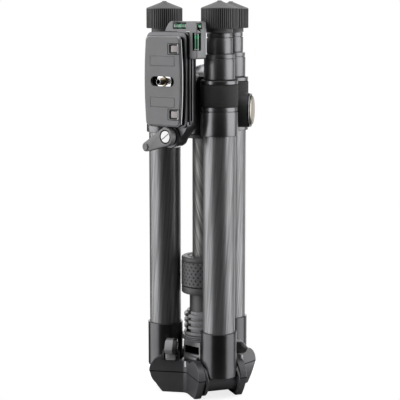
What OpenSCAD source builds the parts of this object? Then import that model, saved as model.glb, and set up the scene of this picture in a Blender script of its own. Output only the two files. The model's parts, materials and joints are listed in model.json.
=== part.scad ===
// Travel tripod, folded: the legs stand up round the ball head, and the hub is at the bottom.
// Leg frame: x runs out from the column axis, y runs round it, z runs from the hub to the feet.

/* [Hub and pivots] */
// Distance from the column axis to each leg's axis
leg_circle_r = 38.5; // [38:0.5:42]
// Distance from the column axis to each fold axis
pivot_circle_r = 35.5; // [35.3:0.1:36.5]
// Height of each fold axis above the resting face
pivot_z = 18; // [17:0.1:19]
// Height of the joint between the hub's two halves
seam_z = 20; // [19:0.1:21]
// Distance from the column axis to the middle of each ear's round end
ear_circle_r = 34.4; // [33:0.1:35]
// Radius of the ears' round end, above the joint
ear_r = 15.6; // [15:0.1:16.5]
// Distance from the column axis to where each ear's underside starts to rise
ear_heel_r = 37; // [35.5:0.1:40]
// Distance from a leg's middle plane to the inner face of its ears
ear_inner = 17.2; // [17.1:0.1:17.8]
// Thickness of an ear
ear_t = 6.8; // [5:0.1:8]
// Height of the flat top between two ears
lobe_top = 31.4; // [28:0.1:32]
// Radius of the round core of the hub
core_r = 18; // [17.5:0.1:18.2]
// Height of the underside of the core
core_base = 8.5; // [8:0.1:12]
// Height of the top of the hub's neck
neck_top = 48.9; // [46:0.1:50]
// Radius of the pivot pins
pivot_pin_r = 4; // [3:0.1:5]

/* [Column] */
// Radius of the upper column tube
upper_column_r = 11.8; // [11:0.1:11.9]
// Radius of the lower column tube
lower_column_r = 14.5; // [14:0.1:14.6]
// Length of the upper column tube
upper_column_len = 164; // [150:1:166]
// Length of the lower column tube
lower_column_len = 93; // [88:1:96]
// Outer radius of the finned collet
collet_r = 19.7; // [18.5:0.1:20]
// Height of the finned collet above the lock ring
collet_len = 22.8; // [16:0.1:26]
// Number of fins on the collet
collet_fins = 4; // [2:1:6]
// Outer radius of the column lock ring
lock_ring_r = 21.3; // [20:0.1:21.4]
// Height of the column lock ring
lock_ring_len = 4.8; // [4:0.1:6]
// Outer radius of the twist lock between the two column tubes
twist_lock_r = 22.2; // [20:0.1:22.4]
// Length of the twist lock
twist_lock_len = 35.4; // [30:0.1:38]
// Thickness of the rubber band on the twist lock
band_t = 2.4; // [1.5:0.1:3]

/* [Legs] */
// Outer radius of the thickest leg tube
tube_r = 15; // [14:0.1:15]
// How much the radius falls from one leg tube to the next
tube_step = 2.4; // [2:0.1:2.5]
// Wall of the leg tubes
tube_wall = 1.1; // [0.9:0.1:1.2]
// Radius of the casting's sleeve
sleeve_r = 16.7; // [16:0.1:16.8]
// Height of the top of the sleeve
sleeve_top = 64.3; // [58:0.1:75]
// Radius of the casting's barrel round its pivot pin
barrel_r = 11.6; // [9:0.1:12]
// Height of the lower end of the first twist collar
collar_start = 247.7; // [242:0.1:252]
// Length of the lowest twist collar
collar_1_len = 26.6; // [22:0.1:30]
// Length of the second twist collar, the one with the rubber grip
collar_2_len = 24.4; // [22:0.1:30]
// Length of the third twist collar
collar_3_len = 23.4; // [20:0.1:28]
// Length of the top twist collar
collar_4_len = 18.9; // [16:0.1:24]
// Radius of the lowest twist collar
collar_1_r = 17.1; // [16.5:0.1:17.3]
// Radius of the second twist collar
collar_2_r = 17.2; // [16.5:0.1:17.3]
// Radius of the third twist collar
collar_3_r = 14.2; // [13.5:0.1:15]
// Radius of the top twist collar
collar_4_r = 11.9; // [11.3:0.1:12.5]
// Radius of the rubber foot
foot_r = 16.9; // [15:0.1:17]
// Length of the foot's ribbed skirt
foot_skirt = 18.9; // [14:0.1:24]
// Height of the foot's cone
foot_cone = 6.3; // [3:0.1:10]

/* [Ball head] */
// Height of the underside of the head's base
head_base_z = 243.1; // [241:0.1:244]
// Radius of the head's base
head_base_r = 20; // [18:0.1:20.5]
// Radius of the ball housing
housing_r = 19.5; // [18.5:0.1:20]
// Height of the ball's centre
ball_z = 296.9; // [292:0.1:299]
// Radius of the ball
ball_r = 15; // [14:0.1:15.5]
// Radius of the stem between the ball and the clamp
stem_r = 6.5; // [5:0.1:7]
// Height of the lock knob's axis
knob_z = 268.9; // [267:0.1:271]
// Radius of the lock knob
knob_r = 16; // [13:0.1:16]
// Length of the lock knob's grip
knob_len = 13.3; // [10:0.1:14]

/* [Clamp and plate] */
// Distance from the column axis to the back of the clamp
clamp_back = 37.3; // [37.3:0.1:39]
// Depth of the clamp
clamp_depth = 17.2; // [16:0.1:19]
// Width of the clamp
clamp_w = 49; // [48:0.1:49.5]
// Height of the clamp, over the part that holds the plate
clamp_h = 87; // [86:0.1:87.2]
// Width of the quick-release plate at its middle
plate_w = 45.6; // [44:0.1:47]
// Height of the quick-release plate
plate_h = 82; // [78:0.1:82]
// Thickness of the quick-release plate in front of the clamp
plate_t = 5.4; // [4.5:0.1:7]
// Radius of the camera screw's thread
screw_r = 3.175; // [3.1:0.005:4.8]
// How far the camera screw stands out of the plate
screw_out = 5.3; // [4:0.1:6]
// Width of the level bracket across both arms
level_w = 38.5; // [34:0.1:42]
// Height of the level bracket's upright arm
level_h = 33.6; // [28:0.1:36]
// Radius of the vials
vial_r = 2.4; // [1.8:0.1:2.8]

/* [Hidden] */

$fn = 96;
LEFT = 210;
RIGHT = 330;
REAR = 90;
LEG_ANGLES = [LEFT, RIGHT, REAR];
LOBE_ANGLES = [270, 30, 150];
KNOB_ANGLE = 30;

over = 1;          // how far every cut runs past the face that it opens
run_fit = 0.08;    // radial gap of a running fit
seat_gap = 0.3;    // gap between faces that slide or turn past each other

// Hub
ear_outer = ear_inner + ear_t;
crease_r = ear_outer / cos(30);
web_x = 19.8;                // distance from the column axis to the core's flat sides
web_drop = 0.6;              // how far the core's top lies below the lobes' top
core_inset = 1;              // how far the core's corners end inside the lobes' creases
ear_heel_bow = 1;            // how far the rising edge under an ear bows outwards
heel_steps = 6;
rear_of_ear = 10;            // where an ear's slab starts, inside the core
hub_screw_r = 1.6;
hub_screw_head_r = 3;
hub_screw_head_t = 2.2;
hub_screw_sink = 0.8;        // how far the screw's head lies below the lobe's underside
hub_screw_len = 24;
hub_screw_spare = 2;
hub_screw_circle_r = 22.3;
hub_screw_hex_r = 1.6;
hub_screw_hex_depth = 1;
pin_cover = 1.6;             // metal left between a pivot pin's end and the ear's face
pin_end_gap = 0.2;
window_w = 16;
window_h = 7.6;
window_depth = 2.6;
window_block_w = 20;
window_block_out = 18.6;
window_top_gap = 4.4;
window_z = neck_top - window_top_gap - window_h;

// Latches: each rocks on a short pin between two lugs on the ear
latch_inner_x = 22.6;
latch_len = 12.4;
latch_t = 6;
latch_base_gap = 0.4;
latch_top = 50;
latch_shoe_h = 5.2;
latch_rise = 5.9;
latch_axis_z = lobe_top + latch_rise;
latch_seat_drop = 0.4;
latch_pin_r = 1.4;
lug_t = 1.4;
lug_r = 3.1;
lug_gap = 0.3;
latch_y = ear_inner + ear_t / 2;

// Casting
barrel_half = ear_inner - seat_gap;
sleeve_rise = 3.9;
sleeve_bottom = pivot_z + sleeve_rise;
cheek_r = 15.2;
cheek_t = 2.6;
socket_rise = 17;            // solid part of the sleeve below the tube
socket_floor = sleeve_bottom + socket_rise;

// Leg tubes and collars
collar_lens = [collar_1_len, collar_2_len, collar_3_len, collar_4_len];
collar_rs = [collar_1_r, collar_2_r, collar_3_r, collar_4_r];
collars = len(collar_lens);
collar_z = [for (i = [0:collars - 1]) collar_start + prefix(collar_lens, i)];
grip_len = 12;               // how far a tube reaches into its own collar
bush_len = 16;
bush_gap = 0.06;
tube_floor_rise = 5;
tube_floor = socket_floor + tube_floor_rise;
tube_floor_step = 4;
collar_gap = 0.2;
collar_ring_len = 4;
collar_ring_drop = 0.9;
collar_edge = 0.6;
foot_base = collar_start + prefix(collar_lens, collars) + seat_gap;
foot_ring_len = 3.5;
foot_ring_r = 13.2;
foot_tip_r = 2.2;
foot_tip_h = 0.8;
foot_socket_len = 14;

// Column
column_bore_r = lower_column_r + run_fit;
end_cap_r = 16.4;
end_cap_spigot = 5;
lower_column_z = core_base - seat_gap;
lower_wall = 2.4;
upper_wall = 1.6;
lower_column_in = lower_column_r - lower_wall;
upper_column_z = head_base_z - upper_column_len;
upper_bush_len = 14;
collet_neck_r = 17;
collet_z = neck_top + lock_ring_len + 2 * seat_gap;
collet_groove = 2.2;
collet_fin_share = 0.5;
collet_slot_w = 4.4;
collet_slots = 4;
collet_slot_angle = 70;
ring_groove = 1;
ring_grooves = 2;
twist_lock_grip = 7;         // how far the twist lock reaches down the lower column
twist_lock_z = lower_column_z + lower_column_len - twist_lock_grip;
band_low = 7.4;
band_high = 4.4;

// Head
base_t = 3.4;
press_gap = 0.05;            // radial gap of a pressed or glued joint
base_plug_r = upper_column_r - upper_wall - press_gap;
base_plug_len = 12;
axle_r = 8;
axle_len = 6.4;
housing_z = head_base_z + base_t + seat_gap;
housing_rise = 6;            // how far the housing reaches past the ball's centre
housing_top = ball_z + housing_rise;
housing_rim = 2.4;
notch_gap = 0.4;
knob_boss_r = 9;
knob_boss_end = 30.7;
knob_start = knob_boss_end + seat_gap;
knob_bolt_r = 4;
knob_cap_r = 15.6;
knob_cap_t = 2.1;
knob_bolt_start = 10;
knob_edge = 1.4;
flange_r = 10;
flange_t = 2.6;
spigot_r = 5;
spigot_len = 7;

// Clamp, in x and z with the front towards -y
clamp_front = clamp_back + clamp_depth;
clamp_rise = 45.3;
clamp_top = ball_z + clamp_rise;
clamp_bottom = clamp_top - clamp_h;
clamp_corner = 6;
pocket_depth = 4.6;
pocket_w = 42;
pocket_h = 82.4;
lever_x = 3.6;
lever_drop = 49.3;
lever_z = ball_z - lever_drop;
lever_boss_r = 11;
lever_web_angle = 40;
lever_web_rise = 14;         // how far the web between boss and frame runs up into the frame
lever_web_share = 0.8;       // how far out in the boss the web's lower corners lie
plate_rise = 0.6;
plate_mid_z = ball_z + plate_rise;
plate_end_w = 41.6;
plate_corner = 4;
plate_back_w = pocket_w - 2 * seat_gap;
plate_end_play = 1.6;
plate_back_h = pocket_h - 2 * seat_gap - plate_end_play;
plate_back_t = pocket_depth - seat_gap;
plate_front = clamp_front + seat_gap + plate_t;
slot_len = 28;
slot_w = 8.8;
screw_flange_r = 9;
screw_flange_t = 2.6;
screw_recess_w = 30;
screw_recess_gap = 0.3;
screw_shank_r = 3.9;
screw_shank_sink = 1.4;      // how far the shank ends below the plate's face
pad_w = 11.8;
pad_h = 8.6;
pad_t = 1.6;
pad_sink = 0.5;
pad_margin = 3.5;            // plate between a pad's recess and the plate's side
pad_x = (plate_w - pad_w) / 2 - pad_margin;
pad_z_off = 29.4;
pad_gap = 0.15;

// Level bracket
level_right = 33.5;
level_rise = 54.6;
level_top = ball_z + level_rise;
level_arm = 9;
level_upright_w = level_right - clamp_w / 2 - seat_gap;
level_front = 51;
level_back = 38.7;
level_chamfer = 6;
level_corner = 3;
corner_step = 15;            // angle between the points of a round corner
vial_len = 13;
vial_gap = 0.15;
vial_proud = 0.5;
vial_cross_x = 12.8;
vial_short_len = 8.6;
vial_drop = 18.1;
vial_upright_z = level_top - vial_drop;

// Release lever and its bolt
lever_ring_r = 8.4;
lever_t = 5.8;
lever_gap = 0.3;
lever_bore_r = 6.5;
lever_pad_r = 4.3;
lever_pad_t = 1;
lever_pad_x = -20.4;
lever_pad_drop = 10.7;
lever_pad_z = lever_z - lever_pad_drop;
lever_bolt_r = 3;
lever_head_r = 6.3;
lever_head_t = 2;
lever_slot_w = 0.8;
lever_slot_d = 0.6;
lever_bolt_depth = 8;
lever_slot_angle = 35;
lever_proud = 0.4;
lever_front = plate_front + lever_proud;

// Sum of the first n entries of a list
function prefix(v, n) = n == 0 ? 0 : v[n - 1] + prefix(v, n - 1);

// Outer radius of leg tube i, counted from 0
function tube_outer(i) = tube_r - i * tube_step;

// Where a leg tube starts and ends along its leg
function tube_low(i) = i == 0 ? socket_floor : tube_floor + i * tube_floor_step;
function tube_high(i) = i < collars ? collar_z[i] + grip_len : foot_base + foot_socket_len;

// Places its children in the frame of the leg at an angle
module in_leg(angle) {
    rotate([0, 0, angle]) children();
}

// Lays its children, drawn flat in x and y, into the leg's x and z plane from y0 on, t thick
module slab(y0, t) {
    translate([0, y0 + t, 0]) rotate([90, 0, 0]) linear_extrude(t) children();
}

// Draws its children in x and z and gives them a depth from y = -back to y = -front
module face_slab(back, front) {
    translate([0, -back, 0]) rotate([90, 0, 0]) linear_extrude(front - back) children();
}

// A rectangle with round corners, centred
module round_rect(w, h, r) {
    square([w - 2 * r, h], center = true);
    square([w, h - 2 * r], center = true);
    for (sx = [-1, 1], sy = [-1, 1])
        translate([sx * (w / 2 - r), sy * (h / 2 - r)]) circle(r);
}

// A cylinder between two distances along y, at x and z
module along_y(x, z, r, y0, y1) {
    translate([x, y1, z]) rotate([90, 0, 0]) cylinder(r = r, h = y1 - y0);
}

// A ring turned about z
module ring(z, h, r_out, r_in) {
    translate([0, 0, z]) difference() {
        cylinder(r = r_out, h = h);
        translate([0, 0, -over]) cylinder(r = r_in, h = h + 2 * over);
    }
}

// The lobes in plan: two bands for each leg, which meet in the lobes' creases
module lobe_plan() {
    for (a = LEG_ANGLES, y = [ear_inner, -ear_outer])
        rotate(a) translate([rear_of_ear, y]) square([ear_circle_r - rear_of_ear, ear_t]);
}

// A point on the edge that rises under an ear, from its underside at t = 0 to the joint at t = 1
function heel(t) =
    let (run = ear_circle_r + ear_r - ear_heel_r, slant = sqrt(run * run + seam_z * seam_z))
    [ear_heel_r, 0] + t * [run, seam_z] + 4 * t * (1 - t) * ear_heel_bow * [seam_z, -run] / slant;

// The ears above the joint: the lobes' straight bands, each with a round end
module upper_ears() {
    linear_extrude(lobe_top) lobe_plan();
    for (a = LEG_ANGLES, y = [ear_inner, -ear_outer]) in_leg(a)
        along_y(ear_circle_r, seam_z, ear_r, y, y + ear_t);
}

// The ears below the joint, where each end slants in towards the resting face
module lower_ears() {
    linear_extrude(lobe_top) lobe_plan();
    for (a = LEG_ANGLES, y = [ear_inner, -ear_outer]) in_leg(a)
        slab(y, ear_t) polygon(concat(
            [[ear_circle_r - over, seam_z + over], [ear_circle_r - over, 0]],
            [for (i = [0:heel_steps]) heel(i / heel_steps)],
            [[ear_circle_r + ear_r, seam_z + over]]
        ));
}

// The core between the ears: a triangle whose corners end inside the lobes
module hub_core(z0, z1) {
    translate([0, 0, z0]) linear_extrude(z1 - z0) intersection() {
        circle(crease_r - core_inset);
        polygon([for (a = LOBE_ANGLES) 2 * web_x * [cos(a), sin(a)]]);
    }
}

// The neck in plan: round, with a flat block towards each lobe for a window
module neck_plan() {
    circle(core_r);
    for (a = LOBE_ANGLES)
        rotate(a) translate([0, -window_block_w / 2]) square([window_block_out, window_block_w]);
}

// Cuts shared by both halves of the hub
module hub_bores() {
    pin_end = ear_outer - pin_cover;
    translate([0, 0, -over]) cylinder(r = column_bore_r, h = neck_top + 2 * over);
    for (a = LEG_ANGLES) in_leg(a)
        along_y(pivot_circle_r, pivot_z, pivot_pin_r + run_fit / 2, -pin_end, pin_end);
    for (a = LOBE_ANGLES) in_leg(a) translate([hub_screw_circle_r, 0, -over]) {
        cylinder(r = hub_screw_r + run_fit / 2,
            h = over + hub_screw_sink + hub_screw_len + hub_screw_spare);
        cylinder(r = hub_screw_head_r + seat_gap, h = over + hub_screw_sink + hub_screw_head_t);
    }
}

// Lets each pivot pin be laid into the lower half from above
module pin_slots() {
    r = pivot_pin_r + run_fit / 2;
    pin_end = ear_outer - pin_cover;
    for (a = LEG_ANGLES) in_leg(a) translate([pivot_circle_r - r, -pin_end, pivot_z])
        cube([2 * r, 2 * pin_end, seam_z - pivot_z + over]);
}

module latch_pocket() {
    translate([latch_inner_x - lug_t - 2 * lug_gap, ear_inner - over, lobe_top - latch_seat_drop])
        cube([latch_len + 2 * lug_t + 4 * lug_gap, ear_t + 2 * over, ear_r]);
}

module latch_lugs() {
    for (x = [latch_inner_x - lug_gap - lug_t, latch_inner_x + latch_len + lug_gap])
        translate([x, latch_y, latch_axis_z]) rotate([0, 90, 0]) difference() {
            union() {
                cylinder(r = lug_r, h = lug_t);
                translate([0, -lug_r, 0]) cube([latch_axis_z - lobe_top + over, 2 * lug_r, lug_t]);
            }
            translate([0, 0, -over]) cylinder(r = latch_pin_r + run_fit, h = lug_t + 2 * over);
        }
}

module hub_upper() {
    color("dimgray") difference() {
        union() {
            difference() {
                upper_ears();
                for (a = LEG_ANGLES) in_leg(a) latch_pocket();
            }
            hub_core(seam_z - over, lobe_top - web_drop);
            translate([0, 0, seam_z - over]) linear_extrude(neck_top - seam_z + over) neck_plan();
            for (a = LEG_ANGLES) in_leg(a) latch_lugs();
        }
        translate([0, 0, -over]) cylinder(r = 2 * (ear_circle_r + ear_r), h = seam_z + over);
        hub_bores();
        for (a = LOBE_ANGLES) in_leg(a)
            translate([window_block_out - window_depth, -window_w / 2, window_z])
                cube([window_depth + over, window_w, window_h]);
    }
}

module hub_lower() {
    color("dimgray") difference() {
        union() {
            lower_ears();
            hub_core(core_base, seam_z + over);
        }
        translate([0, 0, seam_z]) cylinder(r = 2 * (ear_circle_r + ear_r), h = 2 * ear_r);
        hub_bores();
        pin_slots();
    }
}

module hub_screws() {
    color("silver") for (a = LOBE_ANGLES) in_leg(a)
        translate([hub_screw_circle_r, 0, hub_screw_sink]) difference() {
            union() {
                cylinder(r = hub_screw_head_r, h = hub_screw_head_t);
                cylinder(r = hub_screw_r, h = hub_screw_len);
            }
            translate([0, 0, -over])
                cylinder(r = hub_screw_hex_r, h = over + hub_screw_hex_depth, $fn = 6);
        }
}

module pivot_pins() {
    pin_end = ear_outer - pin_cover - pin_end_gap;
    color("gray") for (a = LEG_ANGLES) in_leg(a)
        along_y(pivot_circle_r, pivot_z, pivot_pin_r, -pin_end, pin_end);
}

// Column

module column_collet() {
    pitch = collet_len / collet_fins;
    color("darkgray") difference() {
        union() {
            translate([0, 0, neck_top]) cylinder(r = collet_neck_r, h = collet_z - neck_top + collet_len);
            for (i = [0:collet_fins - 1])
                translate([0, 0, collet_z + i * pitch])
                    cylinder(r = collet_r, h = pitch * collet_fin_share);
        }
        translate([0, 0, neck_top - over])
            cylinder(r = column_bore_r, h = collet_z + collet_len + 2 * over);
        for (i = [0:collet_slots - 1]) rotate([0, 0, collet_slot_angle + i * 360 / collet_slots])
            translate([0, -collet_slot_w / 2, collet_z + collet_groove])
                cube([collet_r + over, collet_slot_w, collet_len + over]);
    }
}

module column_lock_ring() {
    pitch = lock_ring_len / (ring_grooves + 1);
    color("gray") difference() {
        ring(neck_top + seat_gap, lock_ring_len, lock_ring_r, collet_neck_r + run_fit);
        for (i = [1:ring_grooves])
            ring(neck_top + seat_gap + i * pitch - ring_groove / 2, ring_groove,
                lock_ring_r + over, lock_ring_r - ring_groove);
    }
}

module lower_column() {
    color("dimgray") ring(lower_column_z, lower_column_len, lower_column_r, lower_column_in);
}

module column_end_cap() {
    color("black") {
        cylinder(r = end_cap_r, h = lower_column_z);
        cylinder(r = lower_column_in - press_gap, h = lower_column_z + end_cap_spigot);
    }
}

module upper_column() {
    color("dimgray") {
        ring(upper_column_z, upper_column_len, upper_column_r, upper_column_r - upper_wall);
        ring(upper_column_z, upper_bush_len, lower_column_in - run_fit, upper_column_r + bush_gap / 2);
    }
}

module column_twist_lock() {
    band_r = twist_lock_r - band_t;
    color("dimgray") difference() {
        union() {
            translate([0, 0, twist_lock_z]) cylinder(r = twist_lock_r, h = band_low);
            translate([0, 0, twist_lock_z]) cylinder(r = band_r, h = twist_lock_len);
            translate([0, 0, twist_lock_z + twist_lock_len - band_high])
                cylinder(r = twist_lock_r, h = band_high);
        }
        translate([0, 0, twist_lock_z - over])
            cylinder(r = lower_column_r + run_fit, h = lower_column_z + lower_column_len
                - twist_lock_z + over + seat_gap);
        translate([0, 0, twist_lock_z])
            cylinder(r = upper_column_r + run_fit, h = twist_lock_len + over);
    }
}

module twist_lock_band() {
    color("black") ring(twist_lock_z + band_low, twist_lock_len - band_low - band_high,
        twist_lock_r + seat_gap / 2, twist_lock_r - band_t + bush_gap / 2);
}

// Head

module head_base() {
    color("black") {
        translate([0, 0, head_base_z - base_plug_len]) cylinder(r = base_plug_r, h = base_plug_len);
        translate([0, 0, head_base_z]) cylinder(r = head_base_r, h = base_t);
        translate([0, 0, head_base_z]) cylinder(r = axle_r, h = base_t + axle_len);
    }
}

module ball_housing() {
    color("dimgray") difference() {
        union() {
            translate([0, 0, housing_z]) cylinder(r = housing_r, h = housing_top - housing_rim - housing_z);
            translate([0, 0, housing_top - housing_rim])
                cylinder(r1 = housing_r, r2 = housing_r - housing_rim, h = housing_rim);
            rotate([0, 0, KNOB_ANGLE]) translate([0, 0, knob_z]) rotate([0, 90, 0])
                cylinder(r = knob_boss_r, h = knob_boss_end);
        }
        translate([0, 0, ball_z]) sphere(ball_r + run_fit);
        translate([0, 0, housing_z - over]) cylinder(r = axle_r + run_fit, h = axle_len + over + seat_gap);
        along_y(0, ball_z, stem_r + notch_gap, -housing_r - over, 0);
        translate([-stem_r - notch_gap, -housing_r - over, ball_z])
            cube([2 * (stem_r + notch_gap), housing_r + over, housing_top]);
        rotate([0, 0, KNOB_ANGLE]) translate([knob_bolt_start - seat_gap, 0, knob_z]) rotate([0, 90, 0])
            cylinder(r = knob_bolt_r + run_fit, h = knob_boss_end);
    }
}

module ball_and_stem() {
    color("silver") {
        translate([0, 0, ball_z]) sphere(ball_r);
        along_y(0, ball_z, stem_r, -clamp_back + flange_t + seat_gap, 0);
        along_y(0, ball_z, flange_r, -clamp_back + seat_gap, -clamp_back + seat_gap + flange_t);
        along_y(0, ball_z, spigot_r, -clamp_back - spigot_len, -clamp_back + seat_gap + flange_t);
    }
}

module lock_knob() {
    color("black") rotate([0, 0, KNOB_ANGLE]) translate([knob_start, 0, knob_z]) rotate([0, 90, 0])
        difference() {
            union() {
                cylinder(r1 = knob_r - knob_edge, r2 = knob_r, h = knob_edge);
                translate([0, 0, knob_edge]) cylinder(r = knob_r, h = knob_len - knob_edge);
            }
            translate([0, 0, -over]) cylinder(r = knob_bolt_r + run_fit / 2, h = knob_len + 2 * over);
        }
}

module knob_bolt() {
    color("silver") rotate([0, 0, KNOB_ANGLE]) translate([0, 0, knob_z]) rotate([0, 90, 0]) {
        translate([0, 0, knob_bolt_start])
            cylinder(r = knob_bolt_r, h = knob_start + knob_len - knob_bolt_start);
        translate([0, 0, knob_start + knob_len])
            cylinder(r1 = knob_cap_r, r2 = knob_cap_r - knob_cap_t / 2, h = knob_cap_t);
    }
}

// Clamp and plate

// The web that joins the lever's boss to the clamp's frame
module clamp_web() {
    web_r = lever_web_share * lever_boss_r;
    web_top = clamp_bottom + lever_web_rise;
    web_right = (clamp_w - clamp_corner) / 2;
    polygon([
        [lever_x - web_r, lever_z],
        [lever_x - web_r, web_top],
        [web_right, web_top],
        [web_right, clamp_bottom + clamp_corner / 2],
        [lever_x + web_r * cos(lever_web_angle), lever_z - web_r * sin(lever_web_angle)],
    ]);
}

module clamp_body() {
    color("dimgray") difference() {
        union() {
            face_slab(clamp_back, clamp_front)
                translate([0, clamp_bottom + clamp_h / 2]) round_rect(clamp_w, clamp_h, clamp_corner);
            face_slab(clamp_back, clamp_front) clamp_web();
            along_y(lever_x, lever_z, lever_boss_r, -clamp_front, -clamp_back);
        }
        face_slab(clamp_front - pocket_depth, clamp_front + over)
            translate([0, plate_mid_z]) round_rect(pocket_w, pocket_h, plate_corner);
        along_y(0, ball_z, spigot_r + run_fit, -clamp_back - spigot_len - seat_gap, -clamp_back + over);
        along_y(lever_x, lever_z, lever_bolt_r + run_fit / 2, -clamp_front - over,
            -lever_front + lever_t + lever_gap + lever_bolt_depth);
    }
}

// The plate's outline: straight ends and bowed sides
module plate_outline() {
    bow = (plate_w - plate_end_w) / 2;
    bow_r = (plate_h * plate_h / 4 + bow * bow) / (2 * bow);
    intersection() {
        round_rect(plate_w, plate_h, plate_corner);
        translate([plate_w / 2 - bow_r, 0]) circle(bow_r, $fn = 360);
        translate([bow_r - plate_w / 2, 0]) circle(bow_r, $fn = 360);
    }
}

module slot_outline(length, w) {
    square([length - w, w], center = true);
    for (s = [-1, 1]) translate([s * (length - w) / 2, 0]) circle(w / 2);
}

module quick_plate() {
    color("dimgray") difference() {
        union() {
            face_slab(plate_front - plate_t, plate_front) translate([0, plate_mid_z]) plate_outline();
            face_slab(clamp_front - plate_back_t, plate_front - plate_t)
                translate([0, plate_mid_z]) round_rect(plate_back_w, plate_back_h, plate_corner);
        }
        face_slab(clamp_front - pocket_depth - over, plate_front + over)
            translate([0, plate_mid_z]) slot_outline(slot_len, slot_w);
        face_slab(clamp_front - pocket_depth - over, plate_front - plate_t / 2 + screw_recess_gap)
            translate([0, plate_mid_z])
                square([screw_recess_w, 2 * (screw_flange_r + seat_gap)], center = true);
        for (s = [-1, 1])
            face_slab(plate_front - pad_t - pad_sink, plate_front + over)
                translate([pad_x, plate_mid_z + s * pad_z_off]) square([pad_w, pad_h], center = true);
    }
}

module plate_pads() {
    color("rosybrown") for (s = [-1, 1])
        face_slab(plate_front - pad_t - pad_sink, plate_front - pad_sink)
            translate([pad_x, plate_mid_z + s * pad_z_off])
                square([pad_w - 2 * pad_gap, pad_h - 2 * pad_gap], center = true);
}

module camera_screw() {
    flange_front = plate_front - plate_t / 2;
    color("silver") {
        along_y(0, plate_mid_z, screw_flange_r, -flange_front, -flange_front + screw_flange_t);
        along_y(0, plate_mid_z, screw_shank_r, -plate_front + screw_shank_sink, -flange_front);
        along_y(0, plate_mid_z, screw_r, -plate_front - screw_out, -flange_front);
    }
}

module level_bracket() {
    low = level_top - level_h;
    color("dimgray") difference() {
        face_slab(level_back, level_front) polygon([
            [level_right - level_w, level_top - level_arm],
            [level_right - level_upright_w, level_top - level_arm],
            [level_right - level_upright_w, low],
            [level_right, low],
            for (a = [0:corner_step:90]) [
                level_right - level_corner + level_corner * cos(a),
                level_top - level_corner + level_corner * sin(a)
            ],
            [level_right - level_w + level_chamfer, level_top],
        ]);
        vials(vial_r + vial_gap, vial_len + 2 * vial_gap, vial_short_len + 2 * vial_gap);
    }
}

// The three vials: one across, one upright on the corner and a short one fore and aft
module vials(r, length, short_length) {
    z = level_top - level_arm / 2;
    corner_x = level_right - vial_r + vial_proud;
    corner_y = -level_front + vial_r - vial_proud;
    mid_y = -(level_front + level_back) / 2;
    translate([vial_cross_x - length / 2, corner_y, z]) rotate([0, 90, 0]) cylinder(r = r, h = length);
    translate([corner_x, corner_y, vial_upright_z - length / 2]) cylinder(r = r, h = length);
    along_y(corner_x, z, r, mid_y - short_length / 2, mid_y + short_length / 2);
}

module level_vials() {
    color("limegreen") vials(vial_r, vial_len, vial_short_len);
}

module release_lever() {
    dx = lever_x - lever_pad_x;
    dz = lever_z - lever_pad_z;
    reach = sqrt(dx * dx + dz * dz);
    color("dimgray") difference() {
        union() {
            face_slab(lever_front - lever_t, lever_front) {
                translate([lever_x, lever_z]) circle(lever_ring_r);
                translate([lever_pad_x, lever_pad_z]) circle(lever_pad_r);
                translate([lever_x, lever_z]) rotate([0, 0, 180 + atan2(dz, dx)]) polygon([
                    [0, -lever_ring_r],
                    [0, lever_ring_r],
                    [reach, lever_pad_r],
                    [reach, -lever_pad_r],
                ]);
            }
            along_y(lever_pad_x, lever_pad_z, lever_pad_r - lever_pad_t, -lever_front - lever_pad_t, -lever_front);
        }
        along_y(lever_x, lever_z, lever_bore_r, -lever_front - over, -lever_front + lever_head_t + run_fit);
        along_y(lever_x, lever_z, lever_bolt_r + run_fit, -lever_front - over, -lever_front + lever_t + over);
    }
}

module lever_bolt() {
    color("white") difference() {
        union() {
            along_y(lever_x, lever_z, lever_head_r, -lever_front, -lever_front + lever_head_t);
            along_y(lever_x, lever_z, lever_bolt_r, -lever_front, -lever_front + lever_t + lever_bolt_depth);
        }
        translate([lever_x, -lever_front - over, lever_z]) rotate([0, -lever_slot_angle, 0])
            translate([-lever_head_r - over, 0, -lever_slot_w / 2])
                cube([2 * (lever_head_r + over), over + lever_slot_d, lever_slot_w]);
    }
}

// Legs

module leg_casting(angle) {
    color("dimgray") in_leg(angle) difference() {
        union() {
            translate([leg_circle_r, 0, sleeve_bottom]) cylinder(r = sleeve_r, h = sleeve_top - sleeve_bottom);
            along_y(pivot_circle_r, pivot_z, barrel_r, -barrel_half, barrel_half);
            along_y(pivot_circle_r, pivot_z, cheek_r, -barrel_half, -barrel_half + cheek_t);
            along_y(pivot_circle_r, pivot_z, cheek_r, barrel_half - cheek_t, barrel_half);
        }
        along_y(pivot_circle_r, pivot_z, pivot_pin_r + run_fit, -barrel_half - over, barrel_half + over);
        translate([leg_circle_r, 0, socket_floor])
            cylinder(r = tube_r + bush_gap / 2, h = sleeve_top);
    }
}

// Leg tube i with the bush at its inner end
module leg_tube(angle, i) {
    low = tube_low(i);
    color(i == 0 ? "dimgray" : "slategray") in_leg(angle) translate([leg_circle_r, 0, 0]) {
        ring(low, tube_high(i) - low, tube_outer(i), tube_outer(i) - tube_wall);
        if (i > 0)
            ring(low, bush_len, tube_outer(i - 1) - tube_wall - run_fit, tube_outer(i) + bush_gap / 2);
    }
}

// Twist collar i, which grips tube i and guides tube i + 1
module leg_collar(angle, i) {
    z = collar_z[i];
    height = collar_lens[i] - collar_gap;
    r = collar_rs[i];
    ring_r = r - collar_ring_drop;
    bore = tube_outer(i) + run_fit;
    throat = tube_outer(i + 1) + seat_gap;
    shoulder = grip_len + seat_gap;
    color(i == 1 ? "black" : "dimgray") in_leg(angle) translate([leg_circle_r, 0, z]) rotate_extrude()
        polygon([
            [bore, 0],
            [r - collar_edge, 0],
            [r, collar_edge],
            [r, height - collar_ring_len],
            [ring_r, height - collar_ring_len],
            [ring_r, height],
            [throat, height],
            [throat, shoulder],
            [bore, shoulder],
        ]);
}

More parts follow.
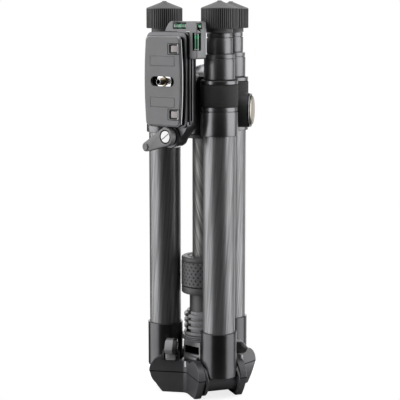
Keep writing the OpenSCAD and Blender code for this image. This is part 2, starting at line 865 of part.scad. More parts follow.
module leg_foot(angle) {
    bore = tube_outer(collars) + bush_gap / 2;
    skirt_z = foot_base + foot_ring_len;
    cone_z = skirt_z + foot_skirt;
    color("black") in_leg(angle) translate([leg_circle_r, 0, 0]) rotate_extrude()
        polygon([
            [bore, foot_base],
            [foot_ring_r, foot_base],
            [foot_ring_r, skirt_z],
            [foot_r, skirt_z],
            [foot_r, cone_z],
            [foot_tip_r, cone_z + foot_cone - foot_tip_h],
            [foot_tip_r, cone_z + foot_cone],
            [0, cone_z + foot_cone],
            [0, foot_base + foot_socket_len],
            [bore, foot_base + foot_socket_len],
        ]);
}

// A rocking latch on the ear, with its pin through the lugs
module leg_latch(angle) {
    low = lobe_top + latch_base_gap;
    color("lightgray") in_leg(angle) {
        translate([latch_inner_x, latch_y - latch_t / 2, low + latch_shoe_h])
            cube([latch_len, latch_t, latch_top - low - latch_shoe_h]);
        translate([latch_inner_x + lug_t, latch_y - latch_t / 2 + lug_t / 2, low])
            cube([latch_len - 2 * lug_t, latch_t - lug_t, latch_shoe_h + over]);
        translate([latch_inner_x - lug_gap - lug_t, latch_y, latch_axis_z]) rotate([0, 90, 0])
            cylinder(r = latch_pin_r, h = latch_len + 2 * (lug_gap + lug_t));
    }
}

hub_upper();
hub_lower();
hub_screws();
pivot_pins();
column_collet();
column_lock_ring();
lower_column();
column_end_cap();
upper_column();
column_twist_lock();
twist_lock_band();
head_base();
ball_housing();
ball_and_stem();
lock_knob();
knob_bolt();
clamp_body();
level_bracket();
level_vials();
quick_plate();
plate_pads();
camera_screw();
release_lever();
lever_bolt();
leg_casting(LEFT);  // left_casting
leg_tube(LEFT, 0);  // left_tube_1
leg_tube(LEFT, 1);  // left_tube_2
leg_tube(LEFT, 2);  // left_tube_3
leg_tube(LEFT, 3);  // left_tube_4
leg_tube(LEFT, 4);  // left_tube_5
leg_collar(LEFT, 0);  // left_collar_1
leg_collar(LEFT, 1);  // left_collar_2
leg_collar(LEFT, 2);  // left_collar_3
leg_collar(LEFT, 3);  // left_collar_4
leg_foot(LEFT);  // left_foot
leg_latch(LEFT);  // left_latch
leg_casting(RIGHT);  // right_casting
leg_tube(RIGHT, 0);  // right_tube_1
leg_tube(RIGHT, 1);  // right_tube_2
leg_tube(RIGHT, 2);  // right_tube_3
leg_tube(RIGHT, 3);  // right_tube_4
leg_tube(RIGHT, 4);  // right_tube_5
leg_collar(RIGHT, 0);  // right_collar_1
leg_collar(RIGHT, 1);  // right_collar_2
leg_collar(RIGHT, 2);  // right_collar_3
leg_collar(RIGHT, 3);  // right_collar_4
leg_foot(RIGHT);  // right_foot
leg_latch(RIGHT);  // right_latch
leg_casting(REAR);  // rear_casting
leg_tube(REAR, 0);  // rear_tube_1
leg_tube(REAR, 1);  // rear_tube_2
leg_tube(REAR, 2);  // rear_tube_3
leg_tube(REAR, 3);  // rear_tube_4
leg_tube(REAR, 4);  // rear_tube_5
leg_collar(REAR, 0);  // rear_collar_1
leg_collar(REAR, 1);  // rear_collar_2
leg_collar(REAR, 2);  // rear_collar_3
leg_collar(REAR, 3);  // rear_collar_4
leg_foot(REAR);  // rear_foot
leg_latch(REAR);  // rear_latch
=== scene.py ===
import json
import math
import bpy
from mathutils import Matrix, Vector

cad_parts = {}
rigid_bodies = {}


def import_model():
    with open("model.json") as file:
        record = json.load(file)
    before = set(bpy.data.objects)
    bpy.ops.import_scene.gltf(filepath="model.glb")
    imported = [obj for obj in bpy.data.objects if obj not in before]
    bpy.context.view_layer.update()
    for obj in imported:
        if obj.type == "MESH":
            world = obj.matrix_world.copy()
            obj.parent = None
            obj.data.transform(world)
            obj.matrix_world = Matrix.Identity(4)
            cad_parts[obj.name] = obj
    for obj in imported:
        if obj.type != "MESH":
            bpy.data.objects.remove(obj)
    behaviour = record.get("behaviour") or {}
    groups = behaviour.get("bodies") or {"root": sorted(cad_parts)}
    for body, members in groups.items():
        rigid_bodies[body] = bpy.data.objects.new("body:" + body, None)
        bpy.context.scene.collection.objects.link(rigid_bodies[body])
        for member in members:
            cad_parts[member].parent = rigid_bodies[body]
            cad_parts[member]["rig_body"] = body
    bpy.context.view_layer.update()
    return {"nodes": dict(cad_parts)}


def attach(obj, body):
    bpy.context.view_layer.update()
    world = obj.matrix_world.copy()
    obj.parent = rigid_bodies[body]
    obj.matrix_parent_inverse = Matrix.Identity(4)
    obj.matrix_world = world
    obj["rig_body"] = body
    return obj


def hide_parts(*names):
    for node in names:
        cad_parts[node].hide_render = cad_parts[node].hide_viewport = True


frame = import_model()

MM = 0.001
scene = bpy.context.scene
collection = scene.collection

# Places, in mm, in the frame that the solids use. A leg's frame has x out from the column, z up.
LEG_ANGLES = {"left": 210, "right": 330, "rear": 90}
LEG_R = 38.5
LOBE_ANGLES = (270, 30, 150)
COLLAR_Z = (247.7, 274.3, 298.7, 322.1)
COLLAR_LEN = (26.4, 24.2, 23.2, 18.7)
COLLAR_R = (17.1, 17.2, 14.2, 11.9)
COLLAR_RING_LEN = 4.2    # the ring above the groove at a collar's upper end
COLLAR_THROAT_Z = 12.3
TUBE_R = (15, 12.6, 10.2, 7.8, 5.4)
TUBE_LOW = (38.9, 47.9, 51.9, 55.9, 59.9)
TUBE_HIGH = (259.7, 286.3, 310.7, 334.1, 355.3)
TUBE_WALL = 1.1
BUSH_LEN = 16
BUSH_PLAY = 0.08
FOOT_RIBS = 54
FOOT_RIBS_LOW, FOOT_RIBS_HIGH = 345.4, 362.9
FOOT_GROOVE_DEPTH = 0.9
SEAM_Z = 20.0
CREASE_R = 24 / math.cos(math.radians(30))    # corners of the hub's core, 24 from flat to axis
WINDOW_LOW, WINDOW_HIGH = 36.2, 43.8
RIDGE_Z, RIDGE_PITCH, RIDGES = 49.2, 1.65, 3
BALL_Z = 296.9
KNOB_Z = 268.9
KNOB_ANGLE = 30
CLAMP_TOP = BALL_Z + 45.3
CLAMP_HALF_W, CLAMP_H, CLAMP_CORNER = 24.5, 87, 6.0
PLATE_Z = 297.5
PLATE_W, PLATE_END_W, PLATE_H, PLATE_CORNER = 45.6, 41.6, 82.0, 4.0
PAD_RISE = 29.4          # the pads' and panels' middles, over and under the plate's
PANEL_RISE = 18.6
SCREW_SEAT = 57.5        # how far in front of the column the screw's flange sits
LEVEL_TOP = BALL_Z + 54.6
LEVEL_LOW = BALL_Z + 21.0
LEVEL_LEFT, LEVEL_RIGHT, LEVEL_CORNER = -5.0, 33.5, 3.0
LEVEL_FRONT = 51
LEVEL_ARM_H = 9.0
VIAL_R = 2.1
VIAL_SET_IN = 2.5
LEVER_AT = (3.6, 247.6)
LEVER_PAD_AT = (-20.4, 236.9)
LEVER_FRONT = 60.6
CAMERA_AZIMUTH = 309.9


# Modelling

def along(angle, x=0.0, y=0.0, z=0.0):
    """The matrix that puts a piece made at the origin into a leg's or a lobe's frame."""
    return Matrix.Rotation(math.radians(angle), 4, "Z") @ Matrix.Translation(Vector((x, y, z)) * MM)


def facing_front(x, y, z):
    """The matrix that lays a piece turned about z along -y, at a point."""
    return Matrix.Translation(Vector((x, y, z)) * MM) @ Matrix.Rotation(math.radians(90), 4, "X")


def along_radius(angle, z):
    """The matrix that lays a piece turned about z along a radius."""
    turn = Matrix.Rotation(math.radians(angle), 4, "Z") @ Matrix.Rotation(math.radians(90), 4, "Y")
    return Matrix.Translation((0, 0, z * MM)) @ turn


def side_on():
    """The matrix that turns a piece drawn in x and z so that it is drawn in y and z."""
    return Matrix.Rotation(math.radians(90), 4, "Z")


def quarter(cx, cz, r, start):
    """The points of a quarter circle from an angle down to 90 degrees less, in steps of 15."""
    angles = [math.radians(start - 15 * k) for k in range(7)]
    return [(cx + r * math.cos(a), cz + r * math.sin(a)) for a in angles]


def only(piece):
    """Leaves one piece selected and active."""
    bpy.ops.object.select_all(action="DESELECT")
    piece.select_set(True)
    bpy.context.view_layer.objects.active = piece


def edit(piece):
    only(piece)
    bpy.ops.object.mode_set(mode="EDIT")


def done():
    bpy.ops.object.mode_set(mode="OBJECT")


def select(piece, kind, parts, test):
    """Selects the faces or edges of the piece in edit mode that pass a test."""
    bpy.ops.mesh.select_mode(type=kind)
    bpy.ops.mesh.select_all(action="DESELECT")
    bpy.ops.object.mode_set(mode="OBJECT")
    for part in getattr(piece.data, parts):
        part.select = bool(test(part))
    bpy.ops.object.mode_set(mode="EDIT")


def select_faces(piece, test):
    """Selects the faces whose centre and normal pass a test."""
    select(piece, "FACE", "polygons", lambda face: test(face.center / MM, face.normal))


def rounded_edges(piece, test, width, segments):
    """Rounds the edges of the piece whose ends pass a test."""
    edit(piece)

    def chosen(edge):
        return test(*(piece.data.vertices[k].co / MM for k in edge.vertices))

    select(piece, "EDGE", "edges", chosen)
    bpy.ops.mesh.bevel(offset=width * MM, segments=segments, affect="EDGES", clamp_overlap=False)
    done()
    return piece


def select_vertices():
    bpy.ops.mesh.select_mode(type="VERT")
    bpy.ops.mesh.select_all(action="SELECT")


def closed_up(piece):
    """Merges doubles, caps what is open and turns every face outwards."""
    select_vertices()
    bpy.ops.mesh.remove_doubles(threshold=1e-6)
    bpy.ops.mesh.fill_holes(sides=0)
    bpy.ops.mesh.normals_make_consistent(inside=False)
    done()
    return piece


def turned(name, profile, sides=96):
    """A piece turned about z: a ring is extruded and scaled along a profile of (r, z)."""
    bpy.ops.object.select_all(action="DESELECT")
    r, z = profile[0]
    bpy.ops.mesh.primitive_circle_add(vertices=sides, radius=r * MM, location=(0, 0, z * MM))
    piece = bpy.context.object
    piece.name = name
    bpy.ops.object.transform_apply(location=True, rotation=False, scale=False)
    bpy.ops.object.mode_set(mode="EDIT")
    select_vertices()
    for r2, z2 in profile[1:]:
        bpy.ops.mesh.extrude_region_move(TRANSFORM_OT_translate={"value": (0, 0, (z2 - z) * MM)})
        if r2 == 0:
            bpy.ops.mesh.merge(type="CENTER")
            break
        bpy.ops.transform.resize(value=(r2 / r, r2 / r, 1), center_override=(0, 0, 0))
        r, z = r2, z2
    return closed_up(piece)


def stepped(name, outline, steps):
    """A flat piece in x and z: its outline is extruded along y, step by step of (y, in-set)."""
    xs, zs = [p[0] for p in outline], [p[1] for p in outline]
    wide, high = max(xs) - min(xs), max(zs) - min(zs)
    cx, cz = (max(xs) + min(xs)) / 2, (max(zs) + min(zs)) / 2
    bpy.ops.object.select_all(action="DESELECT")
    bpy.ops.mesh.primitive_circle_add(vertices=len(outline), radius=MM, fill_type="NGON")
    piece = bpy.context.object
    piece.name = name
    y, inset = steps[0]
    k = (1 - 2 * inset / wide, 1 - 2 * inset / high)
    for vertex, (px, pz) in zip(piece.data.vertices, outline):
        vertex.co = Vector((cx + (px - cx) * k[0], y, cz + (pz - cz) * k[1])) * MM
    bpy.ops.object.mode_set(mode="EDIT")
    select_vertices()
    for y2, inset2 in steps[1:]:
        k2 = (1 - 2 * inset2 / wide, 1 - 2 * inset2 / high)
        bpy.ops.mesh.extrude_region_move(TRANSFORM_OT_translate={"value": (0, (y2 - y) * MM, 0)})
        bpy.ops.transform.resize(value=(k2[0] / k[0], 1, k2[1] / k[1]),
                                 center_override=(cx * MM, 0, cz * MM))
        y, k = y2, k2
    return closed_up(piece)


def block(name, low, high):
    """A block between two corners, as a start for bevels and cuts."""
    bpy.ops.object.select_all(action="DESELECT")
    bpy.ops.mesh.primitive_cube_add(size=1)
    piece = bpy.context.object
    piece.name = name
    low, high = Vector(low) * MM, Vector(high) * MM
    for vertex in piece.data.vertices:
        vertex.co = Vector([low[i] if vertex.co[i] < 0 else high[i] for i in range(3)])
    return piece


def rod(name, start, end, r, sides=32):
    """A plain round rod between two points."""
    start, end = Vector(start) * MM, Vector(end) * MM
    piece = turned(name, [(r, 0), (r, (end - start).length / MM)], sides)
    turn = (end - start).to_track_quat("Z", "Y").to_matrix().to_4x4()
    piece.data.transform(Matrix.Translation(start) @ turn)
    return piece


def cad_copy(node, name=None):
    """A copy of a solid's mesh, with its triangles merged back into flat faces."""
    source = frame["nodes"][node]
    piece = bpy.data.objects.new(name or node + "_shell", source.data.copy())
    collection.objects.link(piece)
    piece.data.materials.clear()
    edit(piece)
    bpy.ops.mesh.customdata_custom_splitnormals_clear()
    bpy.ops.mesh.select_all(action="SELECT")
    bpy.ops.mesh.remove_doubles(threshold=2e-6)
    bpy.ops.mesh.dissolve_limited(angle_limit=math.radians(0.8))
    done()
    return piece


def modifier(piece, kind, **settings):
    only(piece)
    added = piece.modifiers.new(kind.lower(), kind)
    for key, value in settings.items():
        setattr(added, key, value)
    bpy.ops.object.modifier_apply(modifier=added.name)
    return piece


def cut(piece, *cutters, operation="DIFFERENCE"):
    """Cuts the cutters out of a piece, or joins them to it."""
    for cutter in cutters:
        modifier(piece, "BOOLEAN", object=cutter, operation=operation, solver="EXACT")
        bpy.data.objects.remove(cutter)
    return piece


def bevelled(piece, width, segments, angle=30, **settings):
    """Bevels every edge that is sharper than an angle."""
    return modifier(piece, "BEVEL", width=width * MM, segments=segments, limit_method="ANGLE",
                    angle_limit=math.radians(angle), **settings)


def smoothed(piece, angle=38):
    only(piece)
    bpy.ops.object.shade_smooth_by_angle(angle=math.radians(angle))
    return piece


def eased(piece, width=0.4, segments=2, angle=30):
    """Breaks the edges with a small bevel and shades the curves smooth."""
    smoothed(bevelled(piece, width, segments, angle, use_clamp_overlap=False))
    return modifier(piece, "WEIGHTED_NORMAL", keep_sharp=True)


def wrapped(piece):
    """Gives a turned piece a UV map: u in turns round the piece, v in metres along it."""
    mesh = piece.data
    while mesh.uv_layers:
        mesh.uv_layers.remove(mesh.uv_layers[0])
    uv = mesh.uv_layers.new(name="wrap")
    for face in mesh.polygons:
        mid = math.atan2(face.center.y, face.center.x)
        for loop in face.loop_indices:
            co = mesh.vertices[mesh.loops[loop].vertex_index].co
            turn = math.atan2(co.y, co.x)
            turn += 2 * math.pi * round((mid - turn) / (2 * math.pi))
            uv.data[loop].uv = (turn / (2 * math.pi), co.z)
    return piece


def joined(name, *parts):
    bpy.ops.object.select_all(action="DESELECT")
    for part in parts:
        part.select_set(True)
    bpy.context.view_layer.objects.active = parts[0]
    bpy.ops.object.join()
    parts[0].name = name
    return parts[0]


def duplicate(piece, name):
    other = bpy.data.objects.new(name, piece.data.copy())
    collection.objects.link(other)
    return other


def worn(piece, finish, body, place=None, replaces=(), name=None):
    """Puts a finished piece in place, gives it its finish and lets it ride on its body."""
    if place is not None:
        piece.data.transform(place)
    piece.data.materials.clear()
    piece.data.materials.append(finish)
    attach(piece, body)
    if replaces:
        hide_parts(*replaces)
    if name:
        piece.name = name
    return piece


# Finishes

class Value:
    """A number in a finish: sums and products on it add Math nodes."""

    def __init__(self, finish, socket):
        self.finish, self.socket = finish, socket

    def op(self, operation, other=0.0, first=True):
        pair = (self, other) if first else (other, self)
        return self.finish.node("ShaderNodeMath", {"operation": operation}, dict(enumerate(pair)))

    def __add__(self, other):
        return self.op("ADD", other)

    def __radd__(self, other):
        return self.op("ADD", other)

    def __sub__(self, other):
        return self.op("SUBTRACT", other)

    def __rsub__(self, other):
        return self.op("SUBTRACT", other, False)

    def __mul__(self, other):
        return self.op("MULTIPLY", other)

    def __pow__(self, other):
        return self.op("POWER", other)

    def __lt__(self, other):
        return self.op("LESS_THAN", other)

    def __gt__(self, other):
        return self.op("GREATER_THAN", other)


class Finish:
    """A material made of nodes round one Principled shader."""

    def __init__(self, name, color, roughness=0.5, metallic=0.0, **fixed):
        self.material = bpy.data.materials.new(name)
        self.material.use_nodes = True
        self.tree = self.material.node_tree
        self.shader = self.tree.nodes["Principled BSDF"]
        self.set(Base_Color=(*color, 1), Roughness=roughness, Metallic=metallic, **fixed)

    def node(self, kind, settings=None, inputs=None, output=0):
        """Adds a node: its settings first, then the values or links of its sockets."""
        made = self.tree.nodes.new(kind)
        for key, value in (settings or {}).items():
            setattr(made, key, value)
        for key, value in (inputs or {}).items():
            self.plug(made.inputs[key], value)
        return Value(self, made.outputs[output])

    def plug(self, socket, value):
        if isinstance(value, Value):
            self.tree.links.new(value.socket, socket)
        else:
            socket.default_value = value

    def set(self, **inputs):
        for key, value in inputs.items():
            self.plug(self.shader.inputs[key.replace("_", " ")], value)
        return self

    def axes(self, source):
        """The three numbers of a place: on the piece's own axes, or on its UV map."""
        where = self.node("ShaderNodeTexCoord", output=source)
        parts = self.node("ShaderNodeSeparateXYZ", {}, {0: where}).socket.node
        return [Value(self, output) for output in parts.outputs]

    def noise(self, scale, detail):
        where = self.node("ShaderNodeTexCoord", output="Object")
        return self.node("ShaderNodeTexNoise", {}, {"Vector": where, "Scale": scale,
                                                   "Detail": detail, "Roughness": 0.5})

    def spread(self, value, low, high, to_low=0.0, to_high=1.0):
        """Maps a number softly from one range to another."""
        return self.node("ShaderNodeMapRange", {"interpolation_type": "SMOOTHSTEP"},
                         {0: value, 1: low, 2: high, 3: to_low, 4: to_high})

    def shade(self, value, dark, light):
        """A colour between two, by a number."""
        ends = {key: color if isinstance(color, Value) else (*color, 1)
                for key, color in ((6, dark), (7, light))}
        return self.node("ShaderNodeMix", {"data_type": "RGBA"}, {0: value, **ends}, 2)

    def cloudy(self, cloud, dark, light):
        """A colour that drifts between two over the piece."""
        return self.shade(self.spread(cloud, 0.3, 0.7), dark, light)

    def bump(self, height, strength, distance):
        normal = self.node("ShaderNodeBump", {}, {"Strength": strength, "Distance": distance * MM,
                                                 "Height": height})
        return self.set(Normal=normal)


def darker(color, share):
    return tuple(c * share for c in color)


def grainy(name, dark, light, roughness, grain, strength, metallic=0.0, **fixed):
    """A moulded or painted finish: fine grain, and slow changes in shade and gloss."""
    finish = Finish(name, dark, roughness, metallic, **fixed)
    cloud, fine = finish.noise(28, 4.0), finish.noise(grain, 3.0)
    gloss_change = 0.06
    finish.set(Base_Color=finish.cloudy(cloud, dark, light),
               Roughness=cloud * gloss_change + fine * gloss_change + (roughness - gloss_change))
    return finish.bump(fine, strength, 0.15).material


def carbon(name, tilt, across, strength, dark, light, metallic):
    """Wrapped fibre under a clear coat: streaks that lean with the wrap, on the piece's UV map."""
    finish = Finish(name, dark, 0.36, metallic, Coat_Weight=0.4, Coat_Roughness=0.3)
    u, v, _ = finish.axes("UV")
    # The noise is read on a ring, so that it meets itself where the map closes
    angle = (u + v * tilt) * (2 * math.pi)
    ring_x, ring_y = angle.op("COSINE"), angle.op("SINE")

    def streaks(count, lengthwise, detail):
        spot = finish.node("ShaderNodeCombineXYZ", {}, {
            0: ring_x * count, 1: ring_y * count, 2: v * lengthwise})
        return finish.node("ShaderNodeTexNoise", {}, {"Vector": spot, "Scale": 1.0,
                                                      "Detail": detail, "Roughness": 0.6})

    fine = streaks(3.2 * across, 22.0, 4.0)
    broad = streaks(across, 12.0, 3.0)
    tone = finish.spread(fine, 0.34, 0.66) * 0.5 + finish.spread(broad, 0.36, 0.64) * 0.5
    rough, glossy = 0.38 + 0.4 * strength, 0.38 - 0.2 * strength
    finish.set(Base_Color=finish.shade(tone, dark, light),
               Roughness=finish.spread(tone, 0.1, 0.9, rough, glossy))
    return finish.bump(tone, strength, 0.3).material


def dimpled(name, columns, rows_per_m):
    """Soft rubber with staggered round dimples, each painted nearly black as painted shade, on the
    piece's UV map.
    """
    finish = Finish(name, (0.03, 0.03, 0.032), 0.55)
    u, v, _ = finish.axes("UV")
    row = v * rows_per_m
    shift = (row.op("FLOOR") * 0.5).op("FRACT")
    du = (u * columns + shift).op("FRACT") - 0.5
    dv = row.op("FRACT") - 0.5
    narrowed, dimple_r, rim_r = 1.45, 0.22, 0.34
    far = ((du * narrowed) ** 2 + dv ** 2).op("SQRT")
    dot = finish.spread(far, dimple_r, rim_r)
    fine = finish.noise(2600, 2.0)
    # The dimples' near-black colour is painted shade
    finish.set(Base_Color=finish.shade(dot, (0.004, 0.004, 0.004), (0.085, 0.085, 0.09)),
               Roughness=fine * 0.16 + 0.42)
    return finish.bump(dot + fine * 0.06, 0.7, 0.5).material


def ribbed(name, ribs, low, high, dark, light):
    """Moulded rubber, on the piece's UV map: painted shade darkens the grooves between its upright
    ribs, and the ribbed side is painted darker than the top as if lit from above.
    """
    finish = Finish(name, light, 0.6)
    u, v, _ = finish.axes("UV")
    # Dark in the grooves: painted shade
    groove = finish.spread((u * (2 * math.pi * ribs)).op("SINE"), -0.5, 0.3)
    groove = groove * (v > low * MM) * (v < high * MM)
    cloud, fine = finish.noise(30, 4.0), finish.noise(1400, 3.0)
    rubber = finish.cloudy(cloud, darker(light, 0.8), light)
    # The side below the top is mixed halfway to the dark colour: painted shade, leaving the top lit
    side = finish.shade((v < high * MM) * 0.5, rubber, dark)
    finish.set(Base_Color=finish.shade(groove, side, dark),
               Roughness=fine * 0.15 + 0.5 + groove * 0.2)
    return finish.bump(fine, 0.2, 0.15).material


def knurled(name, columns, rows_per_m, color, strength):
    """Rubber with a fine crossed pattern, painted darker in its low parts as painted shade, on the
    piece's UV map.
    """
    finish = Finish(name, color, 0.72)
    u, v, _ = finish.axes("UV")
    one = ((u * columns + v * rows_per_m) * (2 * math.pi)).op("SINE")
    two = ((u * columns - v * rows_per_m) * (2 * math.pi)).op("SINE")
    weave = one * two
    fine = finish.noise(2200, 3.0)
    tone = finish.spread(weave, -0.4, 0.8)
    # Darker where the pattern is low: painted shade
    finish.set(Base_Color=finish.shade(tone, darker(color, 0.6), color),
               Roughness=0.6 + fine * 0.2)
    return finish.bump(weave * 0.5 + fine * 0.5, strength, 0.25).material


def combed(name, dark, light, roughness, columns, strength):
    """Moulded plastic with fine upright lines, on the piece's UV map."""
    finish = Finish(name, dark, roughness, 0.97)
    u = finish.axes("UV")[0]
    line = (u * (2 * math.pi * columns)).op("SINE")
    cloud = finish.noise(40, 3.0)
    finish.set(Base_Color=finish.cloudy(cloud, dark, light),
               Roughness=cloud * 0.08 + (roughness - 0.04))
    return finish.bump(line, strength, 0.08).material


def brushed(name, color, roughness):
    """Turned or polished metal with faint marks."""
    finish = Finish(name, color, roughness, 1.0)
    marks, cloud = finish.noise(900, 3.0), finish.noise(60, 2.0)
    finish.set(Roughness=marks * 0.12 + cloud * 0.08 + (roughness - 0.1),
               Base_Color=finish.shade(cloud, darker(color, 0.82), color))
    return finish.bump(marks, 0.08, 0.05).material


def painted(name, dark, light, roughness, metallic, seam=None):
    """Painted metal with a soft gloss; a seam is a dark line at one height, painted shade where two
    halves meet.
    """
    finish = Finish(name, dark, roughness, metallic)
    cloud, fine = finish.noise(28, 4.0), finish.noise(1500, 3.0)
    shade = finish.cloudy(cloud, dark, light)
    finish.set(Roughness=cloud * 0.05 + fine * 0.05 + (roughness - 0.05))
    if seam is not None:
        # The seam's black, non-reflecting line is painted shade in the gap between the halves
        away = (finish.axes("Object")[2] - seam * MM).op("ABSOLUTE")
        line = finish.spread(away, 0.35 * MM, 0.5 * MM)
        finish.set(Metallic=1 - line * (1 - metallic))
        shade = finish.shade(line, (0.001, 0.001, 0.001), shade)
    finish.set(Base_Color=shade)
    return finish.bump(fine, 0.08, 0.1).material


HUB = painted("hub_paint", (0.075, 0.075, 0.079), (0.095, 0.095, 0.1), 0.34, 0.55, SEAM_Z)
CASTING = painted("casting_paint", (0.074, 0.074, 0.077), (0.086, 0.086, 0.09), 0.3, 0.95)
COLUMN_METAL = painted("column_metal", (0.07, 0.07, 0.07), (0.09, 0.09, 0.09), 0.5, 0.5)
COLLAR = combed("collar_plastic", (0.145, 0.145, 0.149), (0.165, 0.165, 0.17), 0.37, 180, 0.04)
COLLAR_GLOSS = painted("collar_gloss", (0.14, 0.14, 0.145), (0.16, 0.16, 0.166), 0.3, 0.97)
GRIP = knurled("grip_rubber", 60, 560, (0.017, 0.017, 0.0165), 0.7)
# The dark colour paints shade in the grooves and on the ribbed side
FOOT = ribbed("foot_rubber", FOOT_RIBS, FOOT_RIBS_LOW, FOOT_RIBS_HIGH, (0.008, 0.008, 0.008),
              (0.17, 0.17, 0.171))
BAND = dimpled("band_rubber", 30, 310)
LOCK = grainy("lock_plastic", (0.055, 0.055, 0.057), (0.075, 0.075, 0.078), 0.5, 1800, 0.15)
KNOB = grainy("knob_rubber", (0.02, 0.0205, 0.0205), (0.03, 0.031, 0.031), 0.6, 1900, 0.25)
PLATE = grainy("plate_plastic", (0.11, 0.11, 0.115), (0.135, 0.135, 0.141), 0.42, 2200, 0.22)
CLAMP = painted("clamp_paint", (0.095, 0.095, 0.099), (0.115, 0.115, 0.12), 0.32, 0.9)
LEVEL = grainy("level_plastic", (0.18, 0.18, 0.187), (0.22, 0.22, 0.228), 0.42, 2000, 0.16)
LEVER = grainy("lever_paint", (0.13, 0.13, 0.134), (0.16, 0.16, 0.164), 0.4, 1900, 0.12)
GREY = grainy("latch_grey", (0.29, 0.29, 0.298), (0.36, 0.36, 0.369), 0.4, 1800, 0.1, 0.4)
COLLET = grainy("collet_plastic", (0.2, 0.2, 0.207), (0.28, 0.28, 0.288), 0.42, 1800, 0.12)
RING = grainy("lock_ring_plastic", (0.17, 0.17, 0.176), (0.24, 0.24, 0.247), 0.4, 1800, 0.12)
# Black for sheets and linings set in gaps, wells and windows: painted shade
SHADE_BLACK = grainy("painted_shade_black", (0.001, 0.001, 0.001), (0.003, 0.003, 0.003), 0.6, 1500, 0.1, 1.0)
CHROME = brushed("bright_steel", (0.78, 0.78, 0.79), 0.24)
BOLT = brushed("bolt_steel", (0.4, 0.4, 0.405), 0.3)
STEEL = brushed("satin_steel", (0.5, 0.5, 0.51), 0.36)
CAP = brushed("cap_metal", (0.42, 0.39, 0.34), 0.42)
BRASS = brushed("thread_metal", (0.36, 0.28, 0.2), 0.35)
PAD = grainy("pad_rubber", (0.3, 0.265, 0.265), (0.4, 0.36, 0.36), 0.6, 1500, 0.15)
WHITE = grainy("white_mark", (0.75, 0.75, 0.75), (0.82, 0.82, 0.82), 0.5, 1500, 0.05)
VIAL = grainy("vial_green", (0.001, 0.07, 0.025), (0.002, 0.1, 0.04), 0.15, 300, 0.02,
              Coat_Weight=0.8)
BUBBLE = grainy("vial_bubble", (0.03, 0.22, 0.1), (0.05, 0.28, 0.13), 0.15, 300, 0.02,
                Coat_Weight=0.8)
# A brighter metal for the plate's rim and the knob's ring: painted highlight along those edges
EDGE = painted("edge_highlight_metal", (0.22, 0.22, 0.226), (0.27, 0.27, 0.277), 0.3, 0.97)
# Near-black for each latch's pin and sides: painted shade
CHEEK_SHADE = painted("latch_cheek", (0.035, 0.035, 0.036), (0.045, 0.045, 0.046), 0.3, 0.6)
VIAL_END = grainy("vial_end", (0.3, 0.34, 0.31), (0.38, 0.42, 0.39), 0.4, 1500, 0.05)
CARBON = carbon("leg_carbon", -0.8, 6.0, 0.16, (0.09, 0.09, 0.092), (0.23, 0.23, 0.237), 0.65)
COLUMN_CARBON = carbon("column_carbon", 4.9, 2.6, 0.4, (0.035, 0.035, 0.034),
                       (0.26, 0.26, 0.25), 0.3)


# Legs

def leg_foot():
    """The rubber foot, with grooves pressed in between its ribs: a rib every four sides."""
    sides = 4 * FOOT_RIBS
    foot = turned("foot", [
        (5.45, 341.05), (12.1, 341.05), (12.2, 341.3), (12.2, 344.8), (16.3, 344.8),
        (16.9, FOOT_RIBS_LOW), (16.9, FOOT_RIBS_HIGH), (16.6, 363.6), (16.2, 363.8), (2.9, 369.0),
        (2.2, 369.3), (2.1, 369.8), (1.7, 370.0), (0, 370.0)], sides)

    def groove(centre, normal):
        if abs(normal.z) > 0.3 or not FOOT_RIBS_LOW < centre.z < FOOT_RIBS_HIGH:
            return False
        turn = math.degrees(math.atan2(centre.y, centre.x)) / 360 % 1
        return int(round(turn * sides - 0.5)) % 4 < 2

    edit(foot)
    select_faces(foot, groove)
    bpy.ops.mesh.extrude_region_shrink_fatten(
        TRANSFORM_OT_shrink_fatten={"value": -FOOT_GROOVE_DEPTH * MM})
    done()
    return wrapped(smoothed(foot, 28))


def leg_collar(i):
    """A twist collar with its bore, and a ring above a groove at its upper end."""
    r, length = COLLAR_R[i], COLLAR_LEN[i]
    bore, throat = TUBE_R[i] + 0.1, TUBE_R[i + 1] + 0.3
    ring_r, ring_z = r - 0.35, length - COLLAR_RING_LEN
    collar = turned("collar", [
        (bore, 0), (r - 0.7, 0), (r - 0.2, 0.15), (r, 0.7), (r, ring_z - 0.5),
        (r - 0.15, ring_z - 0.15), (r - 0.5, ring_z), (ring_r - 0.9, ring_z),
        (ring_r - 0.9, ring_z + 0.5), (ring_r - 0.15, ring_z + 0.5), (ring_r, ring_z + 0.7),
        (ring_r, length - 0.6), (ring_r - 0.15, length - 0.15), (ring_r - 0.6, length),
        (throat, length), (throat, COLLAR_THROAT_Z), (bore, COLLAR_THROAT_Z), (bore, 0)])
    return wrapped(smoothed(collar, 30))


def tube_ring(name, inner, outer, low, high, sides=96):
    return turned(name, [(inner, low), (outer, low), (outer, high), (inner, high), (inner, low)],
                  sides)


def leg_tube(i):
    """A leg tube; all but the thickest have a bush at their inner end."""
    r, low = TUBE_R[i], TUBE_LOW[i]
    parts = [tube_ring("tube", r - TUBE_WALL, r, low, TUBE_HIGH[i])]
    if i:
        outer = TUBE_R[i - 1] - TUBE_WALL - BUSH_PLAY
        parts.append(tube_ring("bush", r + 0.03, outer, low, low + BUSH_LEN, 64))
    return wrapped(smoothed(joined("tube", *parts), 30))


def leg_casting():
    casting = cad_copy("left_casting", "casting")
    casting.data.transform(Matrix.Rotation(math.radians(-LEG_ANGLES["left"]), 4, "Z"))
    return eased(casting, 0.5, 3)


LATCH_SIDE = [(18.0, 38.2), (28.2, 38.2), (29.2, 38.6), (31.9, 42.1), (32.3, 43.0), (32.0, 44.0),
              (26.6, 50.2), (25.8, 51.2), (24.8, 51.5), (18.4, 51.5), (18.0, 51.1)]


def latch_layer(name, steps):
    """A layer of the latch: its side view, extruded along the leg's x."""
    layer = stepped(name, LATCH_SIDE, steps)
    layer.data.transform(side_on())
    return layer


